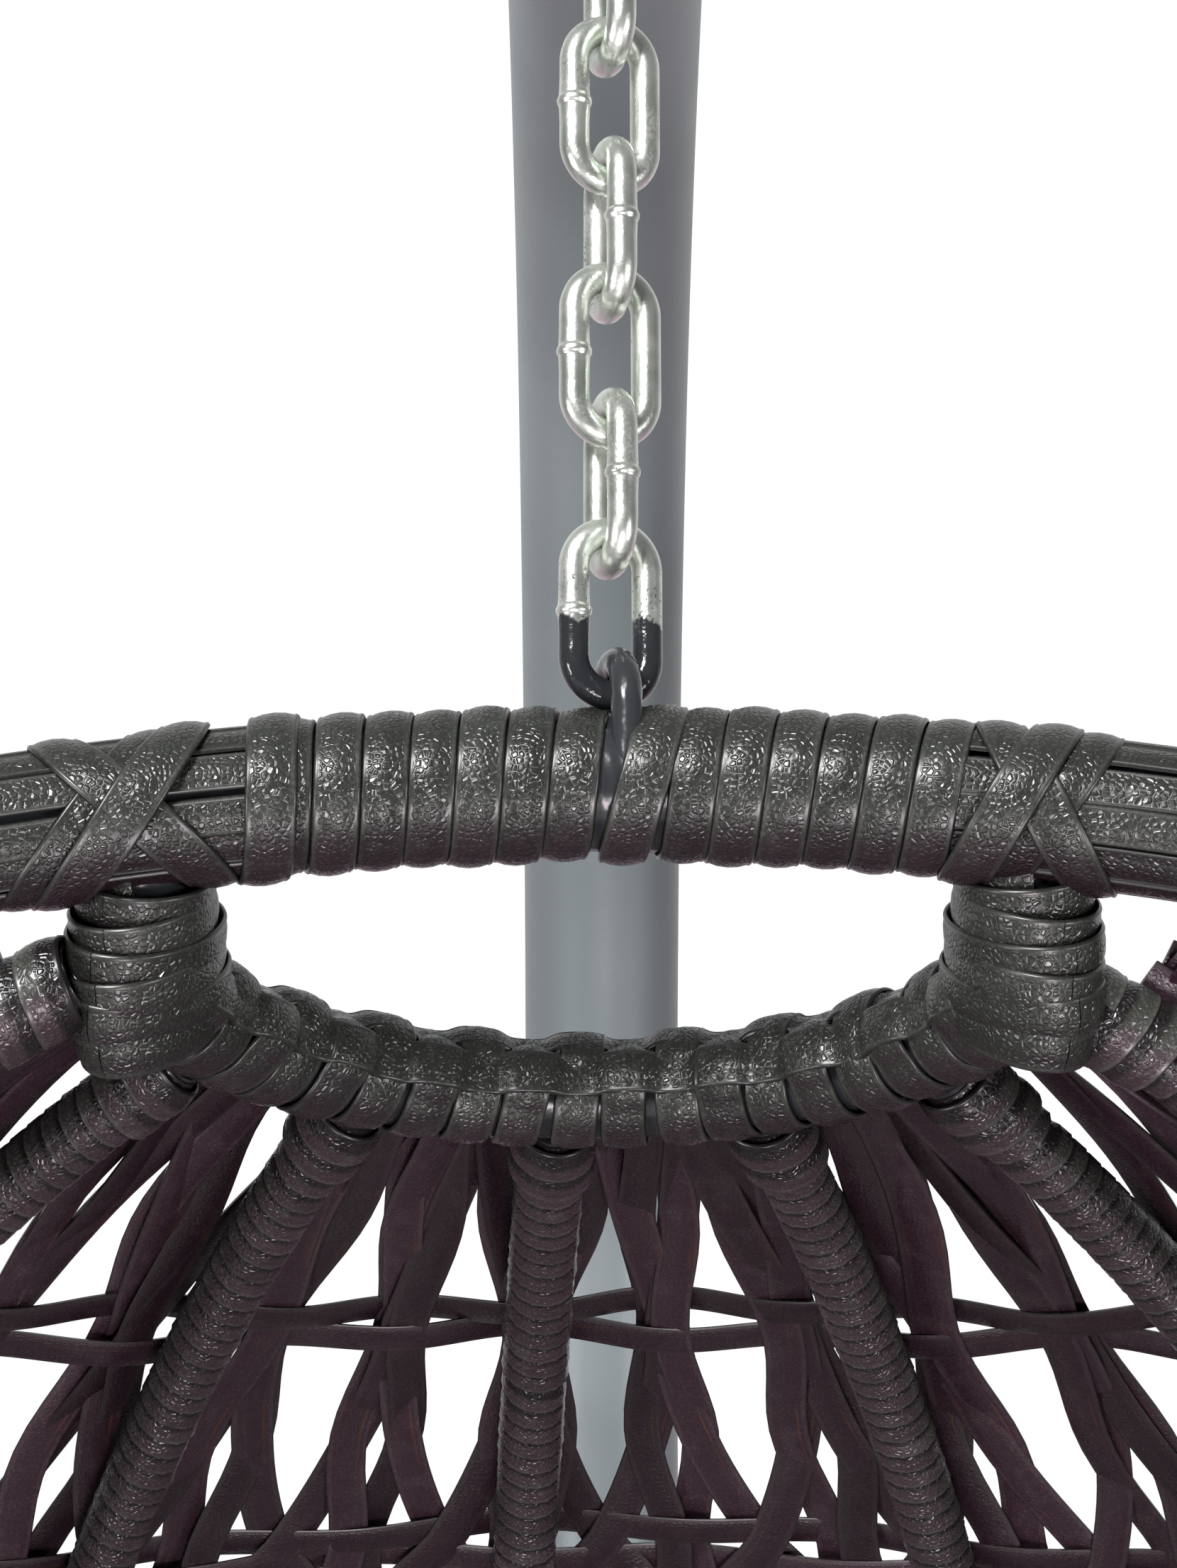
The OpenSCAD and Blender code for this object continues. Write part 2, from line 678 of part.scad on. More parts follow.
// Straight bars between the outer ribs and the sides of the rim
bar_s = 88;
module side_bars() {
    color("dimgray") hung() for (side = [-1, 1]) {
        az = side < 0 ? ribs[0] : ribs[6];
        q = rim_p(bar_s);
        b = [side * q[0], q[1], q[2]];
        z = q[2] - axis[2];
        up = z > mid_z(az);
        r = up ? up_r(az) : low_r(az);
        rad = wide(az) - r + sqrt(r * r - pow(z - mid_z(az), 2));
        a = axis + [rad * sin(az), rad * cos(az), z];
        v = unit(b - a);
        t = rim_t(bar_s);
        across = [side * t[0], t[1], t[2]];
        difference() {
            rod(a + v * (coil_out + gap), b, waist_d);
            rod(a, b, waist_d - 2 * frame_wall);
            rod(b - 40 * across, b + 40 * across, 2 * cover_out + 2 * gap);
        }
    }
}

module seat_ring() {
    color("dimgray") hung() translate([0, seat_back, seat_z])
        rotate_extrude($fn = 180) translate([seat_r, 0])
        annulus(seat_d, frame_wall);
}
module seat_bars() {
    color("dimgray") hung() translate([0, seat_back, seat_z])
        for (k = [-1:1]) difference() {
            translate([-seat_r, k * bar_step, 0]) rotate([0, 90, 0])
                linear_extrude(2 * seat_r) annulus(bar_d, frame_wall);
            rotate_extrude($fn = 180) translate([seat_r, 0])
                circle(d = seat_d + 2 * gap);
            difference() {
                cylinder(r = 2 * seat_r, h = 2 * seat_d, center = true);
                cylinder(r = seat_r, h = 3 * seat_d, center = true, $fn = 180);
            }
        }
}

// ---- weave
module seat_weave() {
    edge = seat_r - 2;
    ball = (edge * edge + dish_h * dish_h) / (2 * dish_h);
    color("darkslategray") hung()
        translate([0, seat_back, seat_z - seat_d / 2 - gap - 0.4 - dish_h])
        rotate_extrude($fn = 180) intersection() {
            translate([0, ball]) difference() {
                circle(r = ball, $fn = 180);
                circle(r = ball - weave_t, $fn = 180);
            }
            square([seat_r, dish_h]);
        }
}

module weave_back(k) {
    a0 = ribs[k - 1] + 0.2;
    a1 = ribs[k] - 0.2;
    cols = 3;
    function grid(d) = [for (i = [0:weave_rows])
        [for (j = [0:cols]) let (az = a0 + (a1 - a0) * j / cols,
            t = weave_t0(az) + (weave_t1 - weave_t0(az)) * i / weave_rows)
            rib_p(az, t, d)]];
    color("darkslategray") hung()
        sheet(grid(weave_clear + weave_t), grid(weave_clear));
}
module weave_back_1() weave_back(1);
module weave_back_2() weave_back(2);
module weave_back_3() weave_back(3);
module weave_back_4() weave_back(4);
module weave_back_5() weave_back(5);
module weave_back_6() weave_back(6);

// Side sheet between the last rib, the rim and the seat ring: a surface
// blended from its four edges
side_s0 = 16;
side_s1 = 176;
function side_rib(side, t, d) =
    let (az = side < 0 ? ribs[0] - 0.2 : ribs[6] + 0.2,
        tt = weave_t0(az) + (weave_t1 - weave_t0(az)) * t,
        p = rib_p(az, tt, d)) [side * p[0], p[1], p[2]];
function side_rim(t, d) =
    let (s = side_s0 + (side_s1 - side_s0) * t, turn = 20 + 135 * t * t,
        reach = cover_out + gap + 0.8 + 3 * t + d - weave_clear)
    rim_p(s) + reach * (sin(turn) * rim_b(s) - cos(turn) * rim_n(s));
function side_foot(side, v, d) =
    let (a = side_rib(side, 1, d), b = side_rim(1, d),
        ra = norm([a[0], a[1] - seat_back]), rb = norm([b[0], b[1] - seat_back]),
        aa = atan2(a[0], a[1] - seat_back), ab = atan2(b[0], b[1] - seat_back),
        r = ra + (rb - ra) * v, az = aa + (ab - aa) * v)
    [r * sin(az), seat_back + r * cos(az), a[2] + (b[2] - a[2]) * v];
function side_at(side, t, v, d) =
    let (r0 = side_rib(side, 0, d), r1 = side_rib(side, 1, d),
        q0 = side_rim(0, d), q1 = side_rim(1, d))
    (1 - v) * side_rib(side, t, d) + v * side_rim(t, d)
        + (1 - t) * (r0 + (q0 - r0) * v) + t * side_foot(side, v, d)
        - (1 - t) * (1 - v) * r0 - (1 - t) * v * q0
        - t * (1 - v) * r1 - t * v * q1;
module weave_side(side) {
    cols = 9;
    function grid(d) = [for (i = [0:weave_rows]) [for (j = [0:cols])
        side_at(side, i / weave_rows, j / cols, d)]];
    color("darkslategray") hung() mirror([side < 0 ? 1 : 0, 0, 0])
        sheet(grid(weave_clear + weave_t), grid(weave_clear));
}
module weave_side_left() weave_side(-1);
module weave_side_right() weave_side(1);

base_ring_left();
base_ring_right();
ring_sleeves();
base_spine();
crossbar_left();
crossbar_right();
pole_socket();
lower_pole();
pole_coupler();
upper_pole();
pole_cap();
pole_screws();
ring_screws();
rubber_feet();
hanger_loop();
snap_hook();
snap_gate();
gate_pin();
chain_link_1();
chain_link_2();
chain_link_3();
chain_link_4();
chain_link_5();
chain_link_6();
hanging_eye();
rim_left();
rim_right();
rim_coil();
lashing_left();
lashing_right();
rim_cover_left();
rim_cover_right();
crown_arc();
crown_braid();
strut_left();
strut_right();
strut_coils();
rib_1();
rib_2();
rib_3();
rib_4();
rib_5();
rib_6();
rib_7();
rib_coils();
waist_hoop();
side_bars();
seat_ring();
seat_bars();
seat_weave();
weave_side_left();
weave_back_1();
weave_back_2();
weave_back_3();
weave_back_4();
weave_back_5();
weave_back_6();
weave_side_right();
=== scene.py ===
# %% [markdown]
# # A hanging pod chair wound and woven with flat plastic cane
# The steel frame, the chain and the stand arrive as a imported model, which fixes every place and size.
# This lesson dresses that frame: first the shared tools, then the finishes, then each winding and weave,
# and at the end the floor, the light and the camera.

# %% Load the frame
import json
import math

import bpy
import numpy as np
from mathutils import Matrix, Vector


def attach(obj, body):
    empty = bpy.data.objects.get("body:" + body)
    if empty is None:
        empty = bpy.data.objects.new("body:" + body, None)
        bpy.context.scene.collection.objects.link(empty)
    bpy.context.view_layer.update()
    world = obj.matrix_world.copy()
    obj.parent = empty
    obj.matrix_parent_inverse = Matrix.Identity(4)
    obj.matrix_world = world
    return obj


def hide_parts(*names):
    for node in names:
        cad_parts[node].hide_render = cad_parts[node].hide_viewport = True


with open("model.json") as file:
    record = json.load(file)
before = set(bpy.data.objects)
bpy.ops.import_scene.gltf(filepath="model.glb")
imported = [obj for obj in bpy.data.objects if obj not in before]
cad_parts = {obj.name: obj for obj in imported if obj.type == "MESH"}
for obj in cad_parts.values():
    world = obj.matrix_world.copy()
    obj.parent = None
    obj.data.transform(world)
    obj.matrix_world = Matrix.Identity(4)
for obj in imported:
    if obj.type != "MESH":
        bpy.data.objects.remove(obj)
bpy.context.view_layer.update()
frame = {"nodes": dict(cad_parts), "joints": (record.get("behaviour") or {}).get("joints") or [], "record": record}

NODES = frame["nodes"]

# %% [markdown]
# Lengths below are millimetres, measured from the middle of the rim tube at its top, because the whole
# chair hangs from there. One function turns them into metres in the frame. The rim's height comes from the
# joint on which the chair tilts, so the dressing follows the frame if the chain is lengthened.

# %% From chair millimetres to frame metres
EYE_RISE = 17.6     # rim tube to the wire that the chair hangs on
TILT_JOINT = [j for j in frame["joints"] if j["name"] == "chair_tilt"][0]
HANG_Z = TILT_JOINT["pos_m"][2] * 1000
RIM_TOP = HANG_Z - EYE_RISE


def to_metres(points):
    """Chair millimetres to frame metres."""
    return (np.asarray(points, float) + [0, 0, RIM_TOP]) * 0.001


def unit(v):
    """Vectors of length one."""
    return v / np.linalg.norm(v, axis=-1, keepdims=True)


def run_along(line):
    """The distance along a line at each of its points."""
    return np.concatenate([[0], np.cumsum(np.linalg.norm(np.diff(line, axis=0), axis=1))])


def at_length(at, length, values):
    """Rows of values read off at given distances along a line."""
    return np.stack([np.interp(at, length, values[:, c]) for c in range(3)], -1)


def ease(x):
    """A soft step from 0 to 1."""
    x = np.clip(x, 0, 1)
    return x * x * (3 - 2 * x)


print("rim top at", round(RIM_TOP, 1), "mm")

# %% [markdown]
# ## The frame's own curves
# The rim is an egg-shaped loop bent along an arc. The parameter s runs from 0 at the top to 180 at the
# bottom. Cane has to lie on the steel within a millimetre, so the curves are written out again here as
# formulas and not guessed from the mesh. Each returns a point and two directions across the tube.

# %% The rim curve
RIM_R = 12.5
RIM_HALF_W = 430
RIM_EGG = 0.11
RIM_LEN = 1113
RIM_LEAN = 46
RIM_SIDE_R = 1020


def rim_angle(s):
    """Lean of the rim's plane at s, in radians."""
    run = RIM_LEN / 2 * (1 - np.cos(np.radians(s)))
    return math.radians(RIM_LEAN) - run / RIM_SIDE_R


def rim_point(s):
    """Middle of the rim tube."""
    a = rim_angle(s)
    lean = math.radians(RIM_LEAN)
    across = RIM_HALF_W * np.sin(np.radians(s)) * (1 + RIM_EGG * np.cos(np.radians(s)))
    forward = -RIM_SIDE_R * (np.cos(a) - math.cos(lean))
    down = -RIM_SIDE_R * (math.sin(lean) - np.sin(a))
    return np.stack([across, forward, down], -1)


def rim_front(s):
    """Direction that faces out of the pod."""
    a = rim_angle(s)
    return np.stack([0 * a, -np.cos(a), np.sin(a)], -1)


def rim_frame(s):
    """Point, front direction and outward direction, for any s from -180 to 180."""
    s = np.asarray(s, float)
    side = np.where(s < 0, -1.0, 1.0)[..., None] * [1, 0, 0] + [0, 1, 1]
    m = np.abs(s)
    front = rim_front(m)
    along = unit(rim_point(m + 0.1) - rim_point(m - 0.1))
    out = unit(np.cross(front, along))
    return rim_point(m) * side, front * side, out * side


def rim_s(x):
    """The parameter at a sideways distance x from the top."""
    return np.degrees(np.arcsin(np.asarray(x, float) / RIM_HALF_W / (1 + RIM_EGG)))


print("rim bottom at", rim_point(np.array([180.0])).round(0).tolist())

# %% [markdown]
# Behind the rim's top sits the crown, half a ring that slopes down to the back. Seven ribs leave it like
# the ribs of an umbrella. A rib lies in an upright plane at an azimuth az, and t runs along it from 0 at
# the crown to 1 at the belly and 2 at the seat ring. The argument d is a distance outside the rib's middle.

# %% The crown curve
AXIS = np.array([-5.0, -12.0, -32.0])
CROWN_R = 88
CROWN_TILT = math.radians(13)
CROWN_TUBE_R = 9.5
STRUT_AT = 74


def crown_frame(a):
    """Point, inward direction and upward direction of the crown at a degrees from its back."""
    a = np.radians(np.asarray(a, float))
    out = np.stack([np.sin(a), np.cos(a) * math.cos(CROWN_TILT), -np.cos(a) * math.sin(CROWN_TILT)], -1)
    up = np.broadcast_to([0, math.sin(CROWN_TILT), math.cos(CROWN_TILT)], out.shape)
    return AXIS + CROWN_R * out, -out, up


print("crown back at", crown_frame([0.0])[0].round(1).tolist())

# %% [markdown]
# A rib is two arcs that meet at the belly. The upper one leaves the crown at a slope, the lower one ends on
# the seat ring, and how wide and deep the chair is sets their radii.

# %% The rib curves
RIB_R = 6.35
RIB_STEP = 27
FAN_TURN = -4
RIB_SLOPE = math.radians(26)
HALF_W = 450
BACK = 330
SEAT_R = 265
SEAT_BACK = -4
SEAT_TUBE_R = 11
COVER_R = RIM_R + 2.2
RIB_AZ = [FAN_TURN + k * RIB_STEP for k in range(-3, 4)]
SEAT_Z = float(rim_point(np.array([180.0]))[0, 2]) - COVER_R - 0.3 - SEAT_TUBE_R
SEAT_OFF = SEAT_BACK - AXIS[1]


def rib_shape(az):
    """Widths, radii and heights of the two arcs of a rib at az degrees."""
    a = np.radians(np.asarray(az, float))
    wide = 1 / np.sqrt((np.sin(a) / HALF_W) ** 2 + (np.cos(a) / BACK) ** 2)
    turn = np.arctan2(np.sin(a) * math.cos(CROWN_TILT), np.cos(a))
    start = CROWN_R * np.sqrt(np.sin(turn) ** 2 + (np.cos(turn) * math.cos(CROWN_TILT)) ** 2)
    up_r = (wide - start) / (1 - math.sin(RIB_SLOPE))
    mid = -CROWN_R * np.cos(turn) * math.sin(CROWN_TILT) - up_r * math.cos(RIB_SLOPE)
    foot = SEAT_OFF * np.cos(a) + np.sqrt(SEAT_R**2 - (SEAT_OFF * np.sin(a)) ** 2)
    drop = mid - (SEAT_Z - AXIS[2])
    low_turn = 2 * np.arctan((wide - foot) / drop)
    low_r = drop / np.sin(low_turn)
    return a, wide, up_r, mid, low_turn, low_r


def rib_point(az, t, d=0.0):
    """A point d outside the rib at az, at t along it."""
    a, wide, up_r, mid, low_turn, low_r = rib_shape(az)
    t = np.asarray(t, float)
    upper = RIB_SLOPE + (math.pi / 2 - RIB_SLOPE) * np.minimum(t, 1)
    lower = low_turn * (np.maximum(t, 1) - 1)
    radius = np.where(t < 1, wide - up_r + (up_r + d) * np.sin(upper),
                      wide - low_r + (low_r + d) * np.cos(lower))
    height = np.where(t < 1, mid + (up_r + d) * np.cos(upper), mid - (low_r + d) * np.sin(lower))
    return AXIS + np.stack([radius * np.sin(a), radius * np.cos(a), height], -1)


print("seat ring at", round(SEAT_Z, 1), "mm; ribs at", RIB_AZ)

# %% [markdown]
# ## One tool for every strip
# All the cane on this chair is one extruded strip, about ten millimetres wide and one thick, with a rounded
# face and a fine bead along each edge. It could be a curve with a bevel, but a bevelled curve twists by its
# own rules. Here a strip is swept by hand: a line of points, the direction its face looks, and a small
# outline repeated at each point. Arrays do the sums at once, so thousands of turns take a second.

# %% Sweep a strip
def outline(half):
    """A strip's outline from its left half and its middle, closed by a flat back."""
    return np.array([*half, *[(-x, z) for x, z in half[-2::-1]], (0.9, 0.0), (-0.9, 0.0)])


FINE = outline([(-1.0, 0.25), (-0.96, 0.72), (-0.88, 0.92), (-0.79, 0.82), (-0.45, 1.24), (0.0, 1.42)])
PLAIN = outline([(-1.0, 0.25), (-0.93, 0.85), (-0.8, 0.86), (0.0, 1.3)])
CANE_T = 1.1


def tube_faces(n, k):
    """The side faces and the two end faces of n outlines with k corners each."""
    i, j = np.meshgrid(np.arange(n - 1), np.arange(k), indexing="ij")
    a, b = i * k + j, i * k + (j + 1) % k
    quads = np.stack([a, b, b + k, a + k], -1).reshape(-1, 4)
    return quads, [list(range(k))[::-1], list(range((n - 1) * k, n * k))]


def strip(line, face, width, thick=CANE_T, shape=FINE, twist=0.0, tone=0.5):
    """One strip along line, its inner face on the line and its outer face looking along face."""
    line = np.asarray(line, float)
    along = unit(np.gradient(line, axis=0))
    side = unit(np.cross(along, face))
    look = np.cross(side, along)
    turn = np.broadcast_to(np.radians(twist), len(line))[:, None]
    side, look = side * np.cos(turn) + look * np.sin(turn), look * np.cos(turn) - side * np.sin(turn)
    half = np.broadcast_to(np.asarray(width, float) / 2, len(line))[:, None, None]
    x = shape[:, 0][None, :, None]
    z = shape[:, 1][None, :, None]
    points = line[:, None] + x * half * side[:, None] + z * thick * look[:, None]
    length = run_along(line)
    n, k = len(line), len(shape)
    quads, caps = tube_faces(n, k)
    across = np.broadcast_to((shape[:, 0] + 1) / 2, (n, k))
    uv = np.stack([across, np.broadcast_to(length[:, None] * 0.001, (n, k))], -1)
    return points.reshape(-1, 3), quads, caps, uv.reshape(-1, 2), np.full(n * k, tone)


print("strip outline has", len(FINE), "corners, the plain one", len(PLAIN))

# %% [markdown]
# A piece is many strips in one mesh. Each strip carries its own tone, a number that the finish uses to make
# one strip a little lighter than its neighbour, and a flat map with the place across the strip, which tells
# the finish where the beads are.

# %% Gather strips into a piece
def make_piece(name, strips, finish, body="chair", stands_for=(), sharp=48):
    """One mesh from many strips, riding on a body of the frame."""
    points, faces, maps, tones, start = [], [], [], [], 0
    for at, quads, caps, uv, tone in strips:
        points.append(at)
        faces.extend((quads + start).tolist())
        faces.extend([[v + start for v in cap] for cap in caps])
        maps.append(uv)
        tones.append(tone)
        start += len(at)
    mesh = bpy.data.meshes.new(name)
    mesh.from_pydata(to_metres(np.concatenate(points)).tolist(), [], faces)
    corner = np.zeros(len(mesh.loops), np.int32)
    mesh.loops.foreach_get("vertex_index", corner)
    flat = mesh.uv_layers.new(name="cane")
    flat.uv.foreach_set("vector", np.concatenate(maps)[corner].astype(np.float32).ravel())
    mark = mesh.attributes.new("tone", "FLOAT", "POINT")
    mark.data.foreach_set("value", np.concatenate(tones).astype(np.float32))
    mesh.shade_smooth()
    mesh.set_sharp_from_angle(angle=math.radians(sharp))
    mesh.materials.append(finish)
    piece = bpy.data.objects.new(name, mesh)
    bpy.context.scene.collection.objects.link(piece)
    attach(piece, body)
    if stands_for:
        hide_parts(*stands_for)
    print(name, "-", len(strips), "strips,", len(mesh.polygons), "faces")
    return piece


def wind(line, front, out, radius, pitch, width, steps=16, phase=0.0, lift=0.0, wobble=0.0,
         shape=FINE, seed=0, tone=0.5):
    """A strip wound round a tube: line is the tube's middle, front and out its cross directions."""
    rng = np.random.default_rng(seed)
    length = run_along(line)
    turns = length[-1] / pitch
    count = max(8, int(turns * steps))
    at = np.linspace(0, length[-1], count)
    turn = phase + 2 * math.pi * at / pitch
    middle = at_length(at, length, line)
    f, o = unit(at_length(at, length, front)), unit(at_length(at, length, out))
    radial = f * np.cos(turn)[:, None] + o * np.sin(turn)[:, None]
    knots = rng.uniform(-1, 1, int(turns) + 3)
    sway = np.interp(at / pitch, np.arange(len(knots)), knots)
    axis = unit(np.cross(f, o))
    reach = (radius + wobble * 0.4 * np.abs(sway))[:, None]
    path = middle + radial * reach + axis * (sway * wobble)[:, None]
    return strip(path, radial, width, shape=shape, twist=lift, tone=tone)


# %% [markdown]
# ## Finishes
# The cane is an extruded plastic with an embossed pebble grain between two smooth edges. Its colour is
# graphite on faces that look up and plum brown on faces that look down, painted shade on the undersides,
# and it is dusty in patches. First come a few short helpers that keep a finish readable: a soft step,
# a sum, a mix and a noise.

# %% Node helpers
def node_maker(tree):
    """A function that adds a node to a tree and fills or links its inputs."""
    def node(kind, inputs=None, **settings):
        made = tree.nodes.new(kind)
        for key, value in settings.items():
            setattr(made, key, value)
        for key, value in (inputs or {}).items():
            if isinstance(value, bpy.types.NodeSocket):
                tree.links.new(value, made.inputs[key])
            else:
                made.inputs[key].default_value = value
        return made

    return node


def new_finish(name):
    """A material with its node tree, its principled shader and a maker of nodes."""
    finish = bpy.data.materials.new(name)
    finish.use_nodes = True
    tree = finish.node_tree
    return finish, tree, tree.nodes["Principled BSDF"], node_maker(tree)


def fade(node, value, low, high, to_low=0.0, to_high=1.0):
    """A soft step of a value."""
    made = node("ShaderNodeMapRange", {"Value": value, "From Min": low, "From Max": high,
                                       "To Min": to_low, "To Max": to_high})
    made.interpolation_type = "SMOOTHSTEP"
    return made.outputs["Result"]


def sums(node, kind, a, b):
    """One sum of two values."""
    return node("ShaderNodeMath", {0: a, 1: b}, operation=kind).outputs[0]


def times(node, a, b):
    """The product of two values."""
    return sums(node, "MULTIPLY", a, b)


def mixed(node, share, a, b):
    """Two colours mixed by a share."""
    made = node("ShaderNodeMix", data_type="RGBA")
    for socket, value in zip((made.inputs[0], made.inputs[6], made.inputs[7]), (share, a, b)):
        if isinstance(value, bpy.types.NodeSocket):
            made.id_data.links.new(value, socket)
        else:
            socket.default_value = value if isinstance(value, float) else (*value, 1.0)
    return made.outputs[2]


def noise(node, coords, scale, detail=4.0, stretch=(1, 1, 1)):
    """A cloudy value, stretched if asked."""
    if stretch != (1, 1, 1):
        coords = node("ShaderNodeMapping", {"Vector": coords, "Scale": stretch}).outputs[0]
    return node("ShaderNodeTexNoise", {"Vector": coords, "Scale": scale, "Detail": detail}).outputs["Fac"]


# %% [markdown]
# One function makes all three canes. A pebble is a Voronoi cell: its distance to the edge, passed through a
# curve, is a rounded bump, which the flat map fades out near the strip's edges. The grooves between pebbles
# and the very edge are darkened as painted shade, and a band along each edge is lightened as a painted
# highlight on the beads. On the ribs a band of each turn beside its lapping neighbour is darkened as a
# painted shadow.

# %% The cane finish
BEAD = (0.09, 0.17)
# painted shade: the width and colour of the darkened very edge of each strip, the crevice between strips
EDGE_SHADE_WIDTH = 0.05
EDGE_SHADE = (0.004, 0.004, 0.004)
# painted shadow of the neighbouring turn on the ribs
LAP_SHADOW = (0.006, 0.004, 0.005)
RUST_RED = (0.10, 0.038, 0.016)
PEBBLE_SCALE = 800.0
PEBBLE_HEIGHT = 0.00013


def cane_finish(name, upper, under, dust_and_edge_sheen, rough, pebble=0.9, rust=0.0, lap_shadow_at=0.0, spread=0.28,
                plum_to=-0.2):
    """Embossed flat cane. Upper and under are the colours of faces that look up and down, the under one painted
    shade; the third colour dusts patches and paints a highlight on the edges; spread is how far the strips' tones
    differ.
    """
    finish, tree, shader, node = new_finish(name)
    place = node("ShaderNodeTexCoord").outputs["Object"]
    flat = node("ShaderNodeUVMap", uv_map="cane").outputs[0]
    across = node("ShaderNodeSeparateXYZ", {0: flat}).outputs["X"]
    from_edge = sums(node, "MINIMUM", across, sums(node, "SUBTRACT", 1.0, across))
    inside = fade(node, from_edge, *BEAD)
    tone = node("ShaderNodeAttribute", attribute_name="tone").outputs["Fac"]
    # painted shade: faces that look down take the plum under colour, faces that look up the graphite upper colour
    normal = node("ShaderNodeNewGeometry").outputs["Normal"]
    facing = node("ShaderNodeSeparateXYZ", {0: normal}).outputs["Z"]
    facing = sums(node, "ADD", facing, times(node, noise(node, place, 60.0), 0.35))
    painted_light_by_facing = fade(node, facing, plum_to - 0.6, plum_to)

    jitter = node("ShaderNodeTexNoise", {"Vector": place, "Scale": 420.0, "Detail": 1.0}).outputs["Color"]
    jitter = node("ShaderNodeVectorMath", {0: jitter, "Scale": 0.0003}, operation="SCALE").outputs[0]
    warped = node("ShaderNodeVectorMath", {0: place, 1: jitter}, operation="ADD").outputs[0]
    cells = node("ShaderNodeTexVoronoi", {"Vector": warped, "Scale": PEBBLE_SCALE, "Randomness": 0.9},
                 feature="DISTANCE_TO_EDGE")
    grain = fade(node, cells.outputs["Distance"], 0.01, 0.30)
    pebbles = times(node, grain, inside)
    streak = noise(node, flat, 1.0, 3.0, (11, 26, 1))

    shade = mixed(node, painted_light_by_facing, under, upper)
    patches = fade(node, noise(node, place, 140.0), 0.5, 0.75)
    shade = mixed(node, times(node, patches, 0.22), shade, dust_and_edge_sheen)
    # painted highlight: a band along each edge, over the beads, is lightened with the dust colour
    shade = mixed(node, times(node, sums(node, "SUBTRACT", 1.0, inside), 0.22), shade, dust_and_edge_sheen)
    # painted shade: the grooves between the pebbles are darkened
    between = sums(node, "SUBTRACT", 1.0, grain)
    shade = mixed(node, times(node, between, 0.5), shade, tuple(0.3 * v for v in upper))
    # painted shade in the crevice where two strips meet: the very edge is darkened
    edge_shade = sums(node, "SUBTRACT", 1.0, fade(node, from_edge, 0.0, EDGE_SHADE_WIDTH))
    shade = mixed(node, times(node, edge_shade, 0.75), shade, EDGE_SHADE)
    # painted shadow: on the ribs, a band of each turn beside where its neighbour laps over is darkened
    if lap_shadow_at:
        lap_shadow = fade(node, across, lap_shadow_at, lap_shadow_at + 0.2, 0.9, 0.0)
        shade = mixed(node, lap_shadow, shade, LAP_SHADOW)
    if rust:
        warm = times(node, fade(node, streak, 0.58, 0.78), rust)
        shade = mixed(node, warm, shade, RUST_RED)
    level = fade(node, tone, 0.0, 1.0, 1 - spread, 1 + spread)
    shade = node("ShaderNodeVectorMath", {0: shade, "Scale": level}, operation="SCALE").outputs[0]
    tree.links.new(shade, shader.inputs["Base Color"])

    gloss = sums(node, "ADD", rough, times(node, noise(node, place, 90.0), 0.14))
    gloss = sums(node, "SUBTRACT", gloss, times(node, pebbles, 0.08))
    tree.links.new(gloss, shader.inputs["Roughness"])
    shader.inputs["Specular IOR Level"].default_value = 0.62

    height = sums(node, "ADD", pebbles, times(node, streak, 0.5))
    relief = node("ShaderNodeBump", {"Height": height, "Strength": pebble, "Distance": PEBBLE_HEIGHT})
    tree.links.new(relief.outputs[0], shader.inputs["Normal"])
    return finish


# The three canes are one plastic. The ribs' colours are painted lighter, as painted light, and the back's are
# painted plum, as painted shade behind the ribs.
FRONT_CANE = cane_finish("cane with painted under shade", upper=(0.025, 0.027, 0.023), under=(0.026, 0.012, 0.019),
                         dust_and_edge_sheen=(0.085, 0.09, 0.08), rough=0.24)
RIB_CANE = cane_finish("cane on the ribs", upper=(0.050, 0.052, 0.045), under=(0.050, 0.027, 0.038),
                       dust_and_edge_sheen=(0.15, 0.155, 0.14), rough=0.23, lap_shadow_at=0.38, plum_to=0.3)
BACK_CANE = cane_finish("cane of the back", upper=(0.038, 0.020, 0.029), under=(0.034, 0.014, 0.024),
                        dust_and_edge_sheen=(0.11, 0.08, 0.09), rough=0.27, pebble=0.4, rust=0.6, spread=0.5)
print("cane finishes:", FRONT_CANE.name, RIB_CANE.name, BACK_CANE.name)

# %% [markdown]
# The steel has three finishes. The chair's frame and its eye are dipped in a thick glossy dark paint. The
# stand is powder coated in slate grey, which shows as a very fine orange peel. The chain and the hook are
# zinc plated: bright, a little green, with grime where links rub and a few rust spots. The lowest link was
# dipped with the eye, so below a ragged line it is painted.

# %% Steel finishes
def painted_finish(name, colour, rough, peel, peel_scale, scuff=(0.3, 0.28, 0.22), scuffs=0.0):
    """Paint or powder coat on steel."""
    finish, tree, shader, node = new_finish(name)
    place = node("ShaderNodeTexCoord").outputs["Object"]
    cloud = noise(node, place, 9.0)
    deep, pale = tuple(0.9 * v for v in colour), tuple(1.12 * v for v in colour)
    shade = mixed(node, fade(node, cloud, 0.35, 0.7), deep, pale)
    worn = fade(node, noise(node, place, 330.0, 6.0), 0.70, 0.76, 0.0, scuffs)
    shade = mixed(node, worn, shade, scuff)
    tree.links.new(shade, shader.inputs["Base Color"])
    gloss = sums(node, "ADD", rough - 0.05, times(node, noise(node, place, 40.0), 0.10))
    tree.links.new(gloss, shader.inputs["Roughness"])
    skin = noise(node, place, peel_scale, 2.0)
    relief = node("ShaderNodeBump", {"Height": skin, "Strength": peel, "Distance": 0.0003})
    tree.links.new(relief.outputs[0], shader.inputs["Normal"])
    return finish


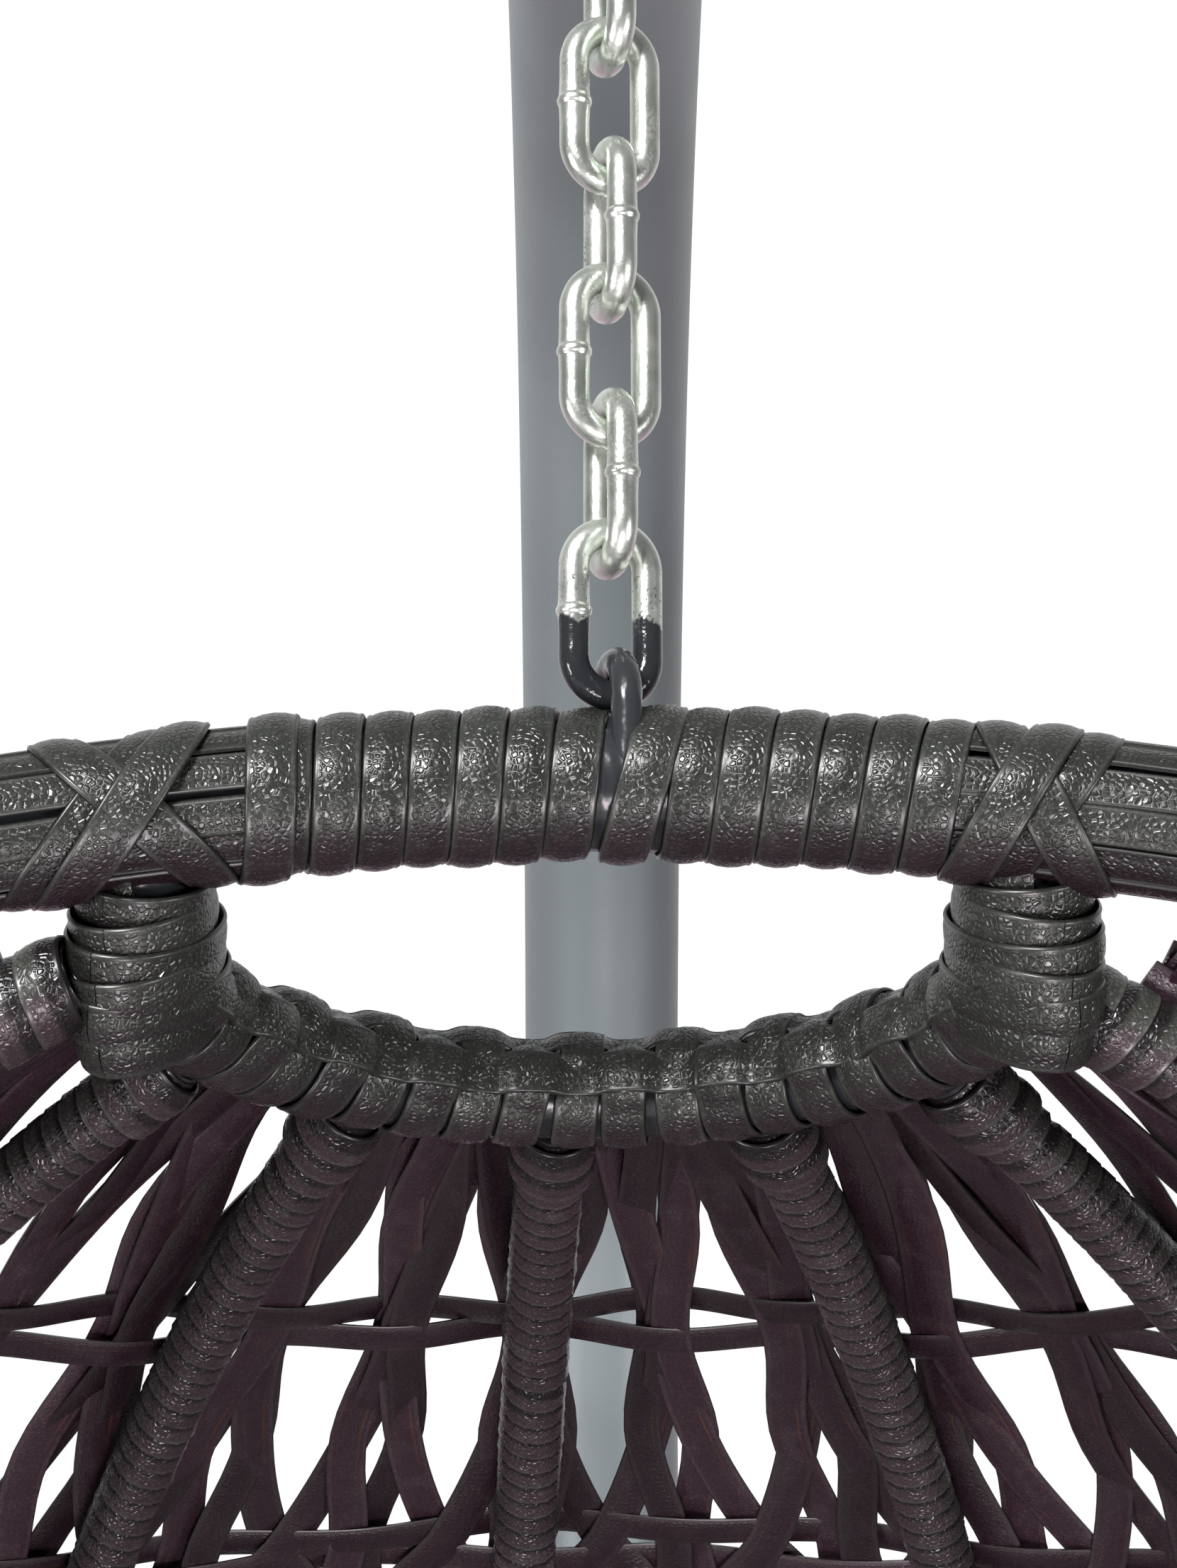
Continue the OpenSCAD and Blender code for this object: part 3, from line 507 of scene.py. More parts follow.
def zinc_finish(name, dipped_below=None):
    """Bright zinc with grime and rust spots, and dark paint below a ragged line if a height is given."""
    finish, tree, shader, node = new_finish(name)
    place = node("ShaderNodeTexCoord").outputs["Object"]
    cloud = noise(node, place, 120.0, 5.0)
    shade = mixed(node, fade(node, cloud, 0.35, 0.7), (0.60, 0.64, 0.58), (0.80, 0.83, 0.78))
    where = fade(node, noise(node, place, 55.0, 2.0), 0.5, 0.72)
    grime = times(node, where, fade(node, noise(node, place, 1500.0, 5.0), 0.45, 0.62))
    shade = mixed(node, grime, shade, (0.10, 0.10, 0.09))
    rust = fade(node, noise(node, place, 260.0, 3.0), 0.74, 0.79)
    shade = mixed(node, rust, shade, (0.21, 0.08, 0.02))
    metal = sums(node, "SUBTRACT", 0.9, times(node, sums(node, "MAXIMUM", grime, rust), 0.75))
    gloss = sums(node, "ADD", 0.24, times(node, cloud, 0.16))
    height = noise(node, place, 700.0, 3.0)
    if dipped_below is not None:
        level = node("ShaderNodeSeparateXYZ", {0: place}).outputs["Z"]
        ragged = sums(node, "ADD", level, times(node, noise(node, place, 230.0, 6.0), 0.011))
        bare = fade(node, ragged, dipped_below + 0.0021, dipped_below + 0.0034)
        specks = fade(node, noise(node, place, 1300.0, 3.0), 0.60, 0.66)
        near = fade(node, level, dipped_below + 0.004, dipped_below + 0.013, 0.9, 0.0)
        specks = times(node, specks, near)
        bare = sums(node, "SUBTRACT", bare, times(node, specks, bare))
        shade = mixed(node, bare, (0.022, 0.024, 0.027), shade)
        metal = times(node, metal, bare)
        gloss = sums(node, "ADD", 0.12, times(node, bare, sums(node, "SUBTRACT", gloss, 0.12)))
    tree.links.new(shade, shader.inputs["Base Color"])
    tree.links.new(metal, shader.inputs["Metallic"])
    tree.links.new(gloss, shader.inputs["Roughness"])
    relief = node("ShaderNodeBump", {"Height": height, "Strength": 0.35, "Distance": 0.0003})
    tree.links.new(relief.outputs[0], shader.inputs["Normal"])
    return finish


LINK_IN = 26.8
WIRE = 6
DIP_LINE = (HANG_Z + 0.66 * LINK_IN) * 0.001
STAND_PAINT = painted_finish("slate powder coat", (0.205, 0.232, 0.243), 0.38, 0.25, 900.0)
FRAME_PAINT = painted_finish("dark dipped paint", (0.028, 0.030, 0.034), 0.20, 0.5, 260.0, scuffs=0.8)
ZINC = zinc_finish("zinc plate")
DIPPED_ZINC = zinc_finish("zinc plate dipped in paint", DIP_LINE)
RUBBER = painted_finish("moulded rubber", (0.022, 0.022, 0.023), 0.75, 0.6, 1500.0)
CAP = painted_finish("moulded cap", (0.03, 0.031, 0.034), 0.5, 0.4, 1800.0)
print("steel finishes made; the dip line is at", round(DIP_LINE, 4), "m")

# %% [markdown]
# The steel nodes of the frame already have their true shape, so they stay, and only their finish changes.
# The tubes under the cane show in the gaps between turns, so they get the dark paint.

# %% Dress the frame's own steel
FINISH_OF_SLOT = {"stand_paint": STAND_PAINT, "frame_paint": FRAME_PAINT, "zinc": ZINC, "rubber": RUBBER,
                  "cap_plastic": CAP, "cane": BACK_CANE}
for part in frame["record"]["subparts"]:
    mesh = NODES[part["node"]].data
    mesh.materials.clear()
    mesh.materials.append(FINISH_OF_SLOT[part["material_slot"]])

# %% [markdown]
# ## The chain
# A link is wire bent to a loop with two straight sides and butt welded in the middle of one side. The weld
# leaves a small collar with a softer swelling round it. The frame's links are right in size, and these
# finer ones take their place: a round section swept along a stadium-shaped path, fatter at the weld.

# %% Sweep a closed loop of wire
WELD_ZONE = 4     # half the length, along the wire, that is drawn finely round the weld


def wire_loop(line, side, radius, around=20):
    """A round wire along a closed line; side is the line's own binormal."""
    along = unit(np.roll(line, -1, 0) - np.roll(line, 1, 0))
    look = np.cross(side, along)
    turn = np.linspace(0, 2 * math.pi, around, endpoint=False)
    ring = look[:, None] * np.cos(turn)[None, :, None] + side[:, None] * np.sin(turn)[None, :, None]
    points = line[:, None] + ring * radius[:, None, None]
    n = len(line)
    i, j = np.meshgrid(np.arange(n), np.arange(around), indexing="ij")
    a, b = i * around + j, i * around + (j + 1) % around
    c, d = ((i + 1) % n) * around + (j + 1) % around, ((i + 1) % n) * around + j
    quads = np.stack([a, d, c, b], -1).reshape(-1, 4)
    return points.reshape(-1, 3), quads, [], np.zeros((n * around, 2)), np.full(n * around, 0.5)


def stadium(length, width, count):
    """A loop with straight sides, from the middle of its left side, and the distance along it."""
    r = width / 2
    straight = length - width
    total = 2 * straight + 2 * math.pi * r
    fine = np.linspace(-WELD_ZONE, WELD_ZONE, 33)[:-1]
    at = np.concatenate([fine, np.linspace(WELD_ZONE, total - WELD_ZONE, count)[:-1]])
    u = (at + straight / 2) % total
    arc = math.pi * r
    x, z = np.zeros_like(u), np.zeros_like(u)
    left, top = u < straight, (u >= straight) & (u < straight + arc)
    right, low = (u >= straight + arc) & (u < 2 * straight + arc), u >= 2 * straight + arc
    x[left], z[left] = -r, u[left] - straight / 2
    swing = (u[top] - straight) / r
    x[top], z[top] = -r * np.cos(swing), straight / 2 + r * np.sin(swing)
    x[right], z[right] = r, straight / 2 - (u[right] - straight - arc)
    swing = (u[low] - 2 * straight - arc) / r
    x[low], z[low] = r * np.cos(swing), -straight / 2 - r * np.sin(swing)
    return x, z, at


print("loop of", round(2 * (LINK_IN + WIRE - 15) + math.pi * 15, 1), "mm of wire")

# %% [markdown]
# Each link stands a quarter turn from its neighbour, and the whole chain is turned a little on the chair.
# The lower three links ride on one body of the frame and the upper three on another.

# %% Six welded links
CHAIN_TURN = 18
LINK_W = 21
LINK_STEP = LINK_IN - 0.25
CHAIN_BODY = {1: "lower_chain", 2: "lower_chain", 3: "lower_chain", 4: "upper_chain", 5: "upper_chain",
              6: "upper_chain"}


def link(k):
    """Link number k, counted from the chair."""
    x, z, at = stadium(LINK_IN + WIRE, LINK_W - WIRE, 120)
    turn = math.radians(CHAIN_TURN + (90 if k % 2 == 0 else 0))
    across = np.array([math.cos(turn), math.sin(turn), 0])
    middle = EYE_RISE + (k - 1) * LINK_STEP + (LINK_IN + WIRE) / 2
    line = x[:, None] * across + (z + middle)[:, None] * np.array([0, 0, 1.0])
    swell = 0.38 * np.exp(-(at / 0.85) ** 4) + 0.16 * np.exp(-(at / 3) ** 2)
    side = np.broadcast_to(np.cross(across, [0, 0, 1.0]), line.shape)
    return wire_loop(line, side, WIRE / 2 + swell)


for k in range(1, 7):
    make_piece(f"link_{k}", [link(k)], DIPPED_ZINC if k == 1 else ZINC, CHAIN_BODY[k],
               [f"chain_link_{k}"], sharp=80)

# %% [markdown]
# The chair hangs on an eye: a short rod bent over and welded to the rim. It was bent by hand and leans a
# little, and the dip left its paint thick and lumpy. The lumps are small slow changes of the radius.

# %% The hanging eye
EYE_R = 10
EYE_TOP = EYE_RISE + WIRE + 0.25
EYE_LEAN = 3.0
EYE_FOOT = (-5.5, 14.0)


def eye():
    """The bent rod, from its foot in front over the top to its foot behind."""
    leg = np.linspace(-14, 0, 15)[:-1]
    bow = np.radians(np.linspace(0, 180, 37))
    y = np.concatenate([0 * leg - EYE_R, -EYE_R * np.cos(bow), 0 * leg + EYE_R])
    z = np.concatenate([leg, EYE_R * np.sin(bow), leg[::-1]]) + EYE_TOP - EYE_R
    x = EYE_LEAN * (0.25 - y / EYE_R * 0.75)
    line = np.stack([x, y, z], -1)
    along = unit(np.gradient(line, axis=0))
    side = unit(np.cross(along, np.cross([1.0, 0, 0], along)))
    look = np.cross(side, along)
    turn = np.linspace(0, 2 * math.pi, 24, endpoint=False)
    drift = 0.9 * np.arange(len(line))[:, None]
    lumps = 0.10 * np.sin(5 * turn[None, :] + drift) * np.sin(0.31 * line[:, 2:3])
    ring = look[:, None] * np.cos(turn)[None, :, None] + side[:, None] * np.sin(turn)[None, :, None]
    points = line[:, None] + ring * (WIRE / 2 + lumps)[:, :, None]
    n, k = len(line), len(turn)
    return points.reshape(-1, 3), *tube_faces(n, k), np.zeros((n * k, 2)), np.full(n * k, 0.5)


def eye_foot(x0, x1, count=40, around=60):
    """A lumpy skin of paint and weld on the rim tube where the eye stands."""
    x = np.linspace(x0, x1, count)
    middle, front, out = rim_frame(rim_s(x))
    turn = np.linspace(0, 2 * math.pi, around, endpoint=False)
    lumps = 0.25 * np.sin(3 * turn[None] + 0.9 * x[:, None]) * np.sin(1.1 * x[:, None] + 2 * turn[None])
    ends = 0.45 * (1 - np.abs(2 * (x - x0) / (x1 - x0) - 1) ** 6)[:, None]
    ring = front[:, None] * np.cos(turn)[None, :, None] + out[:, None] * np.sin(turn)[None, :, None]
    points = middle[:, None] + ring * (RIM_R + 0.1 + ends * (1 + lumps))[:, :, None]
    total = count * around
    return points.reshape(-1, 3), tube_faces(count, around)[0], [], np.zeros((total, 2)), np.full(total, 0.5)


make_piece("eye", [eye(), eye_foot(*EYE_FOOT)], FRAME_PAINT, "chair", ["hanging_eye"],
           sharp=80)

# %% [markdown]
# ## The rim
# The rim is dressed in layers, as the maker does it. First long strips are laid side by side along the
# tube. Then, at the top, a close coil holds them, and on each side strips cross over the coil's end and tie
# the rim to the strut behind. Further down, short bindings of two turns hold the long strips.

# %% Long strips along the rim
LONG_STRIPS = 11
COIL_ENDS = (-72.0, 68.5)
LAYER = RIM_R + 0.35


def laid_strip(s, angle, width, layer, seed, tone):
    """A strip that runs along the rim at an angle round its tube."""
    rng = np.random.default_rng(seed)
    middle, front, out = rim_frame(s)
    knots = rng.uniform(-1, 1, 24)
    sway = np.interp(np.linspace(0, 23, len(s)), np.arange(24), knots)
    turn = np.radians(angle + 2.2 * sway)[:, None]
    radial = front * np.cos(turn) + out * np.sin(turn)
    line = middle + radial * (layer + 0.25 * np.abs(sway)[:, None])
    return strip(line, radial, width, tone=tone)


rng = np.random.default_rng(4)
long_strips = []
for side in (-1, 1):
    first = abs(float(rim_s(COIL_ENDS[0 if side < 0 else 1]))) - 1.0
    for k in range(LONG_STRIPS):
        s = side * np.linspace(first, 179.8, 190)
        angle = (k + rng.uniform(-0.12, 0.12)) * 360 / LONG_STRIPS
        long_strips.append(laid_strip(s, angle, 7.6, LAYER, k + 40 * side + 100, rng.uniform(0.25, 0.8)))
make_piece("rim_long_strips", long_strips, FRONT_CANE,
           stands_for=["rim_cover_left", "rim_cover_right"])

# %% [markdown]
# The coil is made turn by turn, because turns laid by hand are not all of one width or height. It is broken
# at the eye, where one more turn slants across the gap, and its left end is doubled.

# %% The coil at the top of the rim
STRIP_W = 9.7
FAR_SIDE = 122.0    # degrees round the tube, from the pod's front towards outside, of the hidden side


def rim_line(x0, x1, count=60):
    """The rim's middle and its cross directions between two sideways distances."""
    return rim_frame(rim_s(np.linspace(x0, x1, count)))


def rim_turns(x0, x1, radius, pitch, width=STRIP_W, phase=math.radians(FAR_SIDE), seed=0, **more):
    """Turns of strip round the rim from x0 to x1."""
    return wind(*rim_line(x0, x1), radius, pitch, width, steps=40, phase=phase, seed=seed, **more)


def tilted_ring(x_mid, sweep, radius, width=STRIP_W, lift_front=0.0, tone=0.5):
    """A closed ring round the rim whose front leans sideways by sweep each way."""
    turn = np.radians(np.linspace(FAR_SIDE - 360, FAR_SIDE, 91))
    x = x_mid + sweep * np.cos(turn - math.radians(FAR_SIDE - 90))
    middle, front, out = rim_frame(rim_s(x))
    radial = front * np.cos(turn)[:, None] + out * np.sin(turn)[:, None]
    reach = radius + lift_front * np.exp(-((turn - math.radians(FAR_SIDE - 180)) / 0.9) ** 2)
    return strip(middle + radial * reach[:, None], radial, width, tone=tone)


COIL_RUNS = ((-57.3, -12.0, 5, 13.6), (-12.0, -2.4, 1, 13.1), (11.3, 66.8, 6, 13.6))
coil = []
for x0, x1, turns, radius in COIL_RUNS:
    step = (x1 - x0) / turns
    for k in range(turns):
        begin = x0 + k * step
        coil.append(rim_turns(begin, begin + step, radius + 0.22 * ((k * 5 + turns) % 3), pitch=step,
                              width=step - 0.15, seed=turns + k, wobble=0.12, lift=1.5,
                              tone=0.35 + 0.2 * ((k * 7 + turns) % 3)))
coil.append(rim_turns(-67.3, -57.7, 13.6, pitch=9.6, seed=31, tone=0.4))
coil.append(rim_turns(-70.2, -60.6, 14.9, pitch=9.6, seed=32, tone=0.75))
coil.append(tilted_ring(6.1, 3.9, 14.1, width=9.6, tone=0.7))
make_piece("rim_coil_turns", coil, FRONT_CANE, stands_for=["rim_coil"])

# %% [markdown]
# A crossed lashing is three tilted rings round the rim. The first and the last lean one way and the middle
# one leans the other way. Each passes over the one before it in front, so its radius is greater there, and
# all run down behind to the strut. A ring has a place, a sweep, a radius, a lift in front and a tone.

# %% Crossed lashings
LASHINGS = {
    "lashing_left": [(-99.6, 13.7, 13.9, 0.0, 0.35), (-90.3, -13.3, 14.3, 0.6, 0.5),
                     (-93.3, 13.7, 14.7, 1.6, 0.7)],
    "lashing_right": [(83.5, 7.6, 13.9, 0.0, 0.4), (83.0, -10.0, 14.3, 0.6, 0.55),
                      (76.0, 7.6, 14.7, 1.6, 0.7)],
}
for name, rings in LASHINGS.items():
    crossed = [tilted_ring(x, sweep, radius, lift_front=lift, tone=tone)
               for x, sweep, radius, lift, tone in rings]
    make_piece(name + "_cross", crossed, FRONT_CANE, stands_for=[name])

# %% [markdown]
# The bindings are two turns each and stand at equal steps down both sides.

# %% Short bindings down the rim
BINDINGS = 9
bindings = []
for side in (-1, 1):
    for k in range(1, BINDINGS + 1):
        middle_s = 14 + k * 165 / (BINDINGS + 0.5)
        half = 2.0 * 9.6 / (math.pi * RIM_HALF_W) * 180 / 2
        s = side * np.linspace(middle_s - half, middle_s + half, 20)
        bindings.append(wind(*rim_frame(s), 13.9, 9.6, STRIP_W - 0.4, steps=26, seed=k, wobble=0.2,
                             phase=math.pi, tone=0.35 + 0.07 * k))
make_piece("rim_bindings", bindings, FRONT_CANE)

# %% [markdown]
# ## The crown
# The crown is braided. Two long strips run along its inner face, and short bands wind round the tube across
# them. An even band passes over the upper long strip and under the lower one, and an odd band does the
# opposite, so both faces show a chequer of strips. Each strip's distance from the tube rises where it
# passes over and falls where it dives under.

# %% The braid
BAND_STEP = 7.5
BAND_W = 9.9
BRAID_HALF = 76
LOW = CROWN_TUBE_R + 0.5
HIGH = 2.0
LONG_AT = (48.0, 2.0)
BACK_LONG_AT = 150.0


def crown_point(a, turn, reach):
    """A point on the crown's skin: a along it, turn round its tube from the inner side upwards."""
    middle, inward, up = crown_frame(a)
    turn = np.radians(np.asarray(turn, float))[..., None]
    radial = inward * np.cos(turn) + up * np.sin(turn)
    return middle + radial * np.asarray(reach)[..., None], radial


rng = np.random.default_rng(11)
bands = []
band_count = int(2 * BRAID_HALF / BAND_STEP) + 1
for i in range(band_count):
    turn = np.linspace(-180, 180, 97)
    over = LONG_AT[i % 2]
    crest = np.exp(-((turn - over) / 31) ** 4) + 0.8 * np.exp(-((turn - BACK_LONG_AT) / 24) ** 4) * (i % 2)
    lean = 0.9 + rng.uniform(-0.5, 0.5)
    a = -BRAID_HALF + i * BAND_STEP + rng.uniform(-0.4, 0.4) + lean * np.sin(np.radians(turn))
    points, radial = crown_point(a, turn, LOW + HIGH * crest + rng.uniform(0, 0.25))
    bands.append(strip(points, radial, BAND_W + rng.uniform(-0.5, 0.3), tone=rng.uniform(0.3, 0.8)))

for j, at in enumerate((*LONG_AT, BACK_LONG_AT)):
    a = np.linspace(-BRAID_HALF - 4, BRAID_HALF + 4, 480)
    wave = np.cos((a + BRAID_HALF) / BAND_STEP * math.pi) * (1 if j else -1)
    reach = LOW + HIGH * (0.5 - 0.5 * np.tanh(1.9 * wave)) * 1.02
    points, radial = crown_point(a, at + 1.5 * np.sin(a / 9 + j), reach)
    bands.append(strip(points, radial, (7.6, 9.4, 9.0)[j], tone=0.5 + 0.1 * j))
make_piece("crown_bands", bands, FRONT_CANE, stands_for=["crown_braid"])

# %% [markdown]
# Where crown, strut and rim meet, the cane goes round every way to hold the joint. Under the broad rings
# a coil covers the strut, and closed rings go round strut and crown end together. The lower rings are
# ovals, because they also pass in front of the crown's open end, and two smaller ones fill their inside.

# %% Struts and the crown's ends
def straight(a, b, count):
    """Points on a straight line."""
    a, b = np.asarray(a, float), np.asarray(b, float)
    return a + (b - a) * np.linspace(0, 1, count)[:, None]


def rod_line(a, b, count=24):
    """A straight line with two cross directions."""
    line = straight(a, b, count)
    along = unit(b - a)
    front = unit(np.cross(along, np.array([1.0, 0, 0])))
    return line, np.broadcast_to(front, line.shape), np.broadcast_to(np.cross(along, front), line.shape)


def loop_round(middle, normal, first, rx, ry, width, tone, twist=0.0):
    """A closed oval ring round a point: rx towards first, ry across it."""
    turn = np.radians(np.linspace(0, 360, 81))
    normal = unit(np.asarray(normal, float))
    first = unit(np.asarray(first, float) - normal * np.dot(first, normal))
    second = np.cross(normal, first)
    radial = first * np.cos(turn)[:, None] + second * np.sin(turn)[:, None]
    reach = rx * ry / np.sqrt((ry * np.cos(turn)) ** 2 + (rx * np.sin(turn)) ** 2)
    return strip(np.asarray(middle, float) + radial * reach[:, None], radial, width, twist=twist, tone=tone)


# Each ring: how far below the rim, its lean, its two half widths and its tone.
STRUT_RINGS = ((17.0, 0.08, 12.2, 11.8, 0.45), (22.0, -0.08, 15.0, 12.2, 0.65),
               (27.0, 0.06, 17.4, 12.4, 0.4), (32.0, -0.05, 18.6, 12.3, 0.7),
               (37.0, 0.07, 19.2, 12.1, 0.5), (42.5, -0.04, 18.2, 11.2, 0.35),
               (34.0, 0.0, 15.0, 9.0, 0.2), (36.0, 0.1, 11.5, 7.0, 0.2))
strut_turns = []
for side in (-1, 1):
    foot = crown_frame([side * STRUT_AT])[0][0]
    s = rim_s(abs(foot[0]))
    head = rim_frame(np.array([side * float(s)]))[0][0]
    down = unit(foot - head)
    line, front, out = rod_line(head + down * 13.0, foot - down * 3.0)
    strut_turns.append(wind(line, front, out, CROWN_TUBE_R + 0.5, 7.0, 8.6, steps=36, lift=6, wobble=0.3,
                            seed=5 + side, tone=0.45))
    before, after = (crown_frame([side * (STRUT_AT + step)])[0][0] for step in (-0.5, 0.5))
    ahead = unit(after - before)
    for drop, lean, rx, ry, tone in STRUT_RINGS:
        strut_turns.append(loop_round(head + down * drop, down + np.array([lean * side, 0, 0]), ahead,
                                      rx, ry, STRIP_W, tone, twist=7))
make_piece("strut_turns", strut_turns, FRONT_CANE, stands_for=["strut_coils"])

# %% [markdown]
# ## The ribs
# Each rib is wound in one close coil whose turns lap like shingles, so only half of each turn shows and the
# edges stand up a little. A few turns have slipped and leave dark gaps, which are set by making the step
# between turns uneven. Two broad turns tie the coil's start at the crown. The rib's line comes from its
# formula, and the cross directions lie in the rib's plane.

# %% Coils on the seven ribs
RIB_PITCH = 5.3
RIB_STRIP_W = 7.6
RIB_START = 10.8


def rib_line(az, t0, t1, count=220):
    """A rib's middle and its cross directions."""
    line = rib_point(np.full(count, az), np.linspace(t0, t1, count))
    a = math.radians(az)
    flat = np.broadcast_to([math.cos(a), -math.sin(a), 0.0], line.shape)
    return line, flat, unit(np.cross(flat, unit(np.gradient(line, axis=0))))


def uneven(line, pitch, seed):
    """How far each turn is out of step, in turns: a few sudden slips that add up."""
    rng = np.random.default_rng(seed)
    length = np.linalg.norm(np.diff(line, axis=0), axis=1).sum()
    slips = np.zeros(int(length / pitch) + 2)
    slips[rng.integers(2, len(slips) - 2, 7)] = 0.55
    return np.cumsum(slips)


for number, az in enumerate(RIB_AZ, 1):
    up_r = float(rib_shape(az)[2])
    t0 = RIB_START / (up_r * (math.pi / 2 - RIB_SLOPE))
    line, flat, out = rib_line(az, t0, 1.985)
    length = run_along(line)
    drift = uneven(line, RIB_PITCH, 50 + number)
    turns = int((length[-1] - drift[-1] * RIB_PITCH) / RIB_PITCH)
    place = np.arange(turns * 14 + 1) / 14
    at = (place + np.interp(place, np.arange(len(drift)), drift)) * RIB_PITCH
    at = at[at < length[-1]]
    place = place[:len(at)]
    turn = (2 * math.pi * place)[:, None]
    middle = at_length(at, length, line)
    side = at_length(at, length, out)
    radial = flat[0] * np.cos(turn) + side * np.sin(turn)
    rng = np.random.default_rng(number)
    rough = np.interp(place, np.arange(turns + 3), rng.uniform(-1, 1, turns + 3))
    path = middle + radial * (RIB_R + 0.15 + 0.15 * np.abs(rough))[:, None]
    turned = strip(path, radial, RIB_STRIP_W, 0.9, shape=PLAIN, twist=9 + 3 * rough, tone=0.5)
    shades = np.interp(place, np.arange(turns + 3), rng.uniform(0.2, 0.8, turns + 3))
    turned = (*turned[:4], np.repeat(shades, len(PLAIN)))
    t_tie = t0 * (RIB_START + 17) / RIB_START
    tie = wind(*rib_line(az, t0, t_tie, 20), RIB_R + 1.7, RIB_STRIP_W, 9.2, steps=30, lift=6, wobble=0.4,
               seed=number, tone=0.6)
    make_piece(f"rib_coil_{number}", [turned, tie], RIB_CANE, stands_for=["rib_coils"])

# %% [markdown]
# ## The weave of the back
# Behind the ribs the strips hang in an open lattice. Its unit is a pair of uprights, one strip leaning each
# way, and every nine centimetres a pair of level rounds. To draw them on one smooth surface, a place is
# given by u, counted in units round the pod, and r, counted in rounds downwards. Between u = 0 and 16 the
# surface follows the ribs; beyond them it is blended from the last rib, the rim and the seat ring.

# %% The surface of the pod
UNITS = 16
SIDE_UNITS = 4
ROUND_T0 = 0.205
ROUND_STEP = 0.155
SKIN = 11.2
T_END = 1.97


def side_edge_rib(side, t, d):
    """The blended sheet's edge along the last rib, mirrored to the right hand."""
    az = np.full_like(t, RIB_AZ[0] - 0.2 if side < 0 else RIB_AZ[-1] + 0.2)
    up_r = rib_shape(az)[2]
    t0 = 20 / (up_r * (math.pi / 2 - RIB_SLOPE))
    return rib_point(az, t0 + (T_END - t0) * t, d) * [side, 1, 1]


def side_edge_rim(t, d):
    """The blended sheet's edge along the rim."""
    s = 16 + 160 * t
    middle, front, out = rim_frame(s)
    turn = np.radians(20 + 135 * t * t)
    reach = COVER_R + 1.1 + 3 * t + d - 8.65
    return middle + reach[:, None] * (np.sin(turn)[:, None] * out - np.cos(turn)[:, None] * front)


def side_sheet(side, t, v, d):
    """A point of the side sheet, t down it and v from the rib to the rim."""
    zero, one = np.zeros_like(t), np.ones_like(t)
    r0, r1 = side_edge_rib(side, zero, d), side_edge_rib(side, one, d)
    q0, q1 = side_edge_rim(zero, d), side_edge_rim(one, d)
    flat_a = np.hypot(r1[:, 0], r1[:, 1] - SEAT_BACK)
    flat_b = np.hypot(q1[:, 0], q1[:, 1] - SEAT_BACK)
    turn_a = np.arctan2(r1[:, 0], r1[:, 1] - SEAT_BACK)
    turn_b = np.arctan2(q1[:, 0], q1[:, 1] - SEAT_BACK)
    radius, turn = flat_a + (flat_b - flat_a) * v, turn_a + (turn_b - turn_a) * v
    foot = np.stack([radius * np.sin(turn), SEAT_BACK + radius * np.cos(turn),
                     r1[:, 2] + (q1[:, 2] - r1[:, 2]) * v], -1)
    tt, vv = t[:, None], v[:, None]
    point = (1 - vv) * side_edge_rib(side, t, d) + vv * side_edge_rim(t, d)
    point = point + (1 - tt) * (r0 + (q0 - r0) * vv) + tt * foot
    point = point - (1 - tt) * (1 - vv) * r0 - (1 - tt) * vv * q0 - tt * (1 - vv) * r1 - tt * vv * q1
    return point * [side, 1, 1]


def skin_point(u, r, d):
    """A point of the weave at u units round, r rounds down, d outside the ribs' middles."""
    u, r, d = np.broadcast_arrays(np.asarray(u, float), np.asarray(r, float), np.asarray(d, float))
    t = np.clip(ROUND_T0 + r * ROUND_STEP, 0.02, T_END)
    az = RIB_AZ[0] + np.clip(u, 0, UNITS) * (RIB_AZ[-1] - RIB_AZ[0]) / UNITS
    point = rib_point(az, t, d)
    for side, past in ((-1, -u), (1, u - UNITS)):
        beyond = past > 0
        if beyond.any():
            t_side = np.clip((t[beyond] - 0.04) / (T_END - 0.04), 0, 1)
            v_side = np.clip(past[beyond] / SIDE_UNITS, 0, 1)
            point[beyond] = side_sheet(side, t_side, v_side, d[beyond])
    return point


def skin_face(u, r):
    """The outward direction of the weave."""
    a = skin_point(u, r, SKIN)
    across = skin_point(np.asarray(u) + 0.04, r, SKIN) - skin_point(np.asarray(u) - 0.04, r, SKIN)
    down = skin_point(u, np.asarray(r) + 0.04, SKIN) - skin_point(u, np.asarray(r) - 0.04, SKIN)
    face = np.cross(across, down)
    length = np.linalg.norm(face, axis=-1, keepdims=True)
    face = face / np.maximum(length, 1e-9)
    outward = a * [1, 1, 0] - [0, AXIS[1] - 50, 0]
    return face * np.where((face * outward).sum(-1, keepdims=True) < 0, -1, 1)


ROUNDS = int((T_END - ROUND_T0) / ROUND_STEP)
R_TOP = (0.035 - ROUND_T0) / ROUND_STEP
R_LOW = (T_END - ROUND_T0) / ROUND_STEP
print("rounds:", ROUNDS, "from r", round(R_TOP, 2), "to", round(R_LOW, 2))

# %% [markdown]
# Near the crown the strips leave in bundles, one between each two ribs, and fan out over the first round.
# There they are turned a little on edge, each by its own angle, as hand-tied strips are. The bundle is made
# by drawing each strip's u towards the middle of its gap and letting it go with an easing step.

# %% Uprights and leaning strips
GAP_UNITS = UNITS / 6


def fanned(u_line, r, pull=0.28):
    """The line of a strip drawn into its bundle at the crown."""
    gap = np.floor(np.clip(u_line[0], 0, UNITS - 0.01) / GAP_UNITS)
    middle = (gap + 0.5) * GAP_UNITS
    drawn = (middle - u_line[0]) * pull if 0 < u_line[0] < UNITS else 0.0
    return u_line + drawn * (1 - ease((r - R_TOP) / (0.35 - R_TOP)))


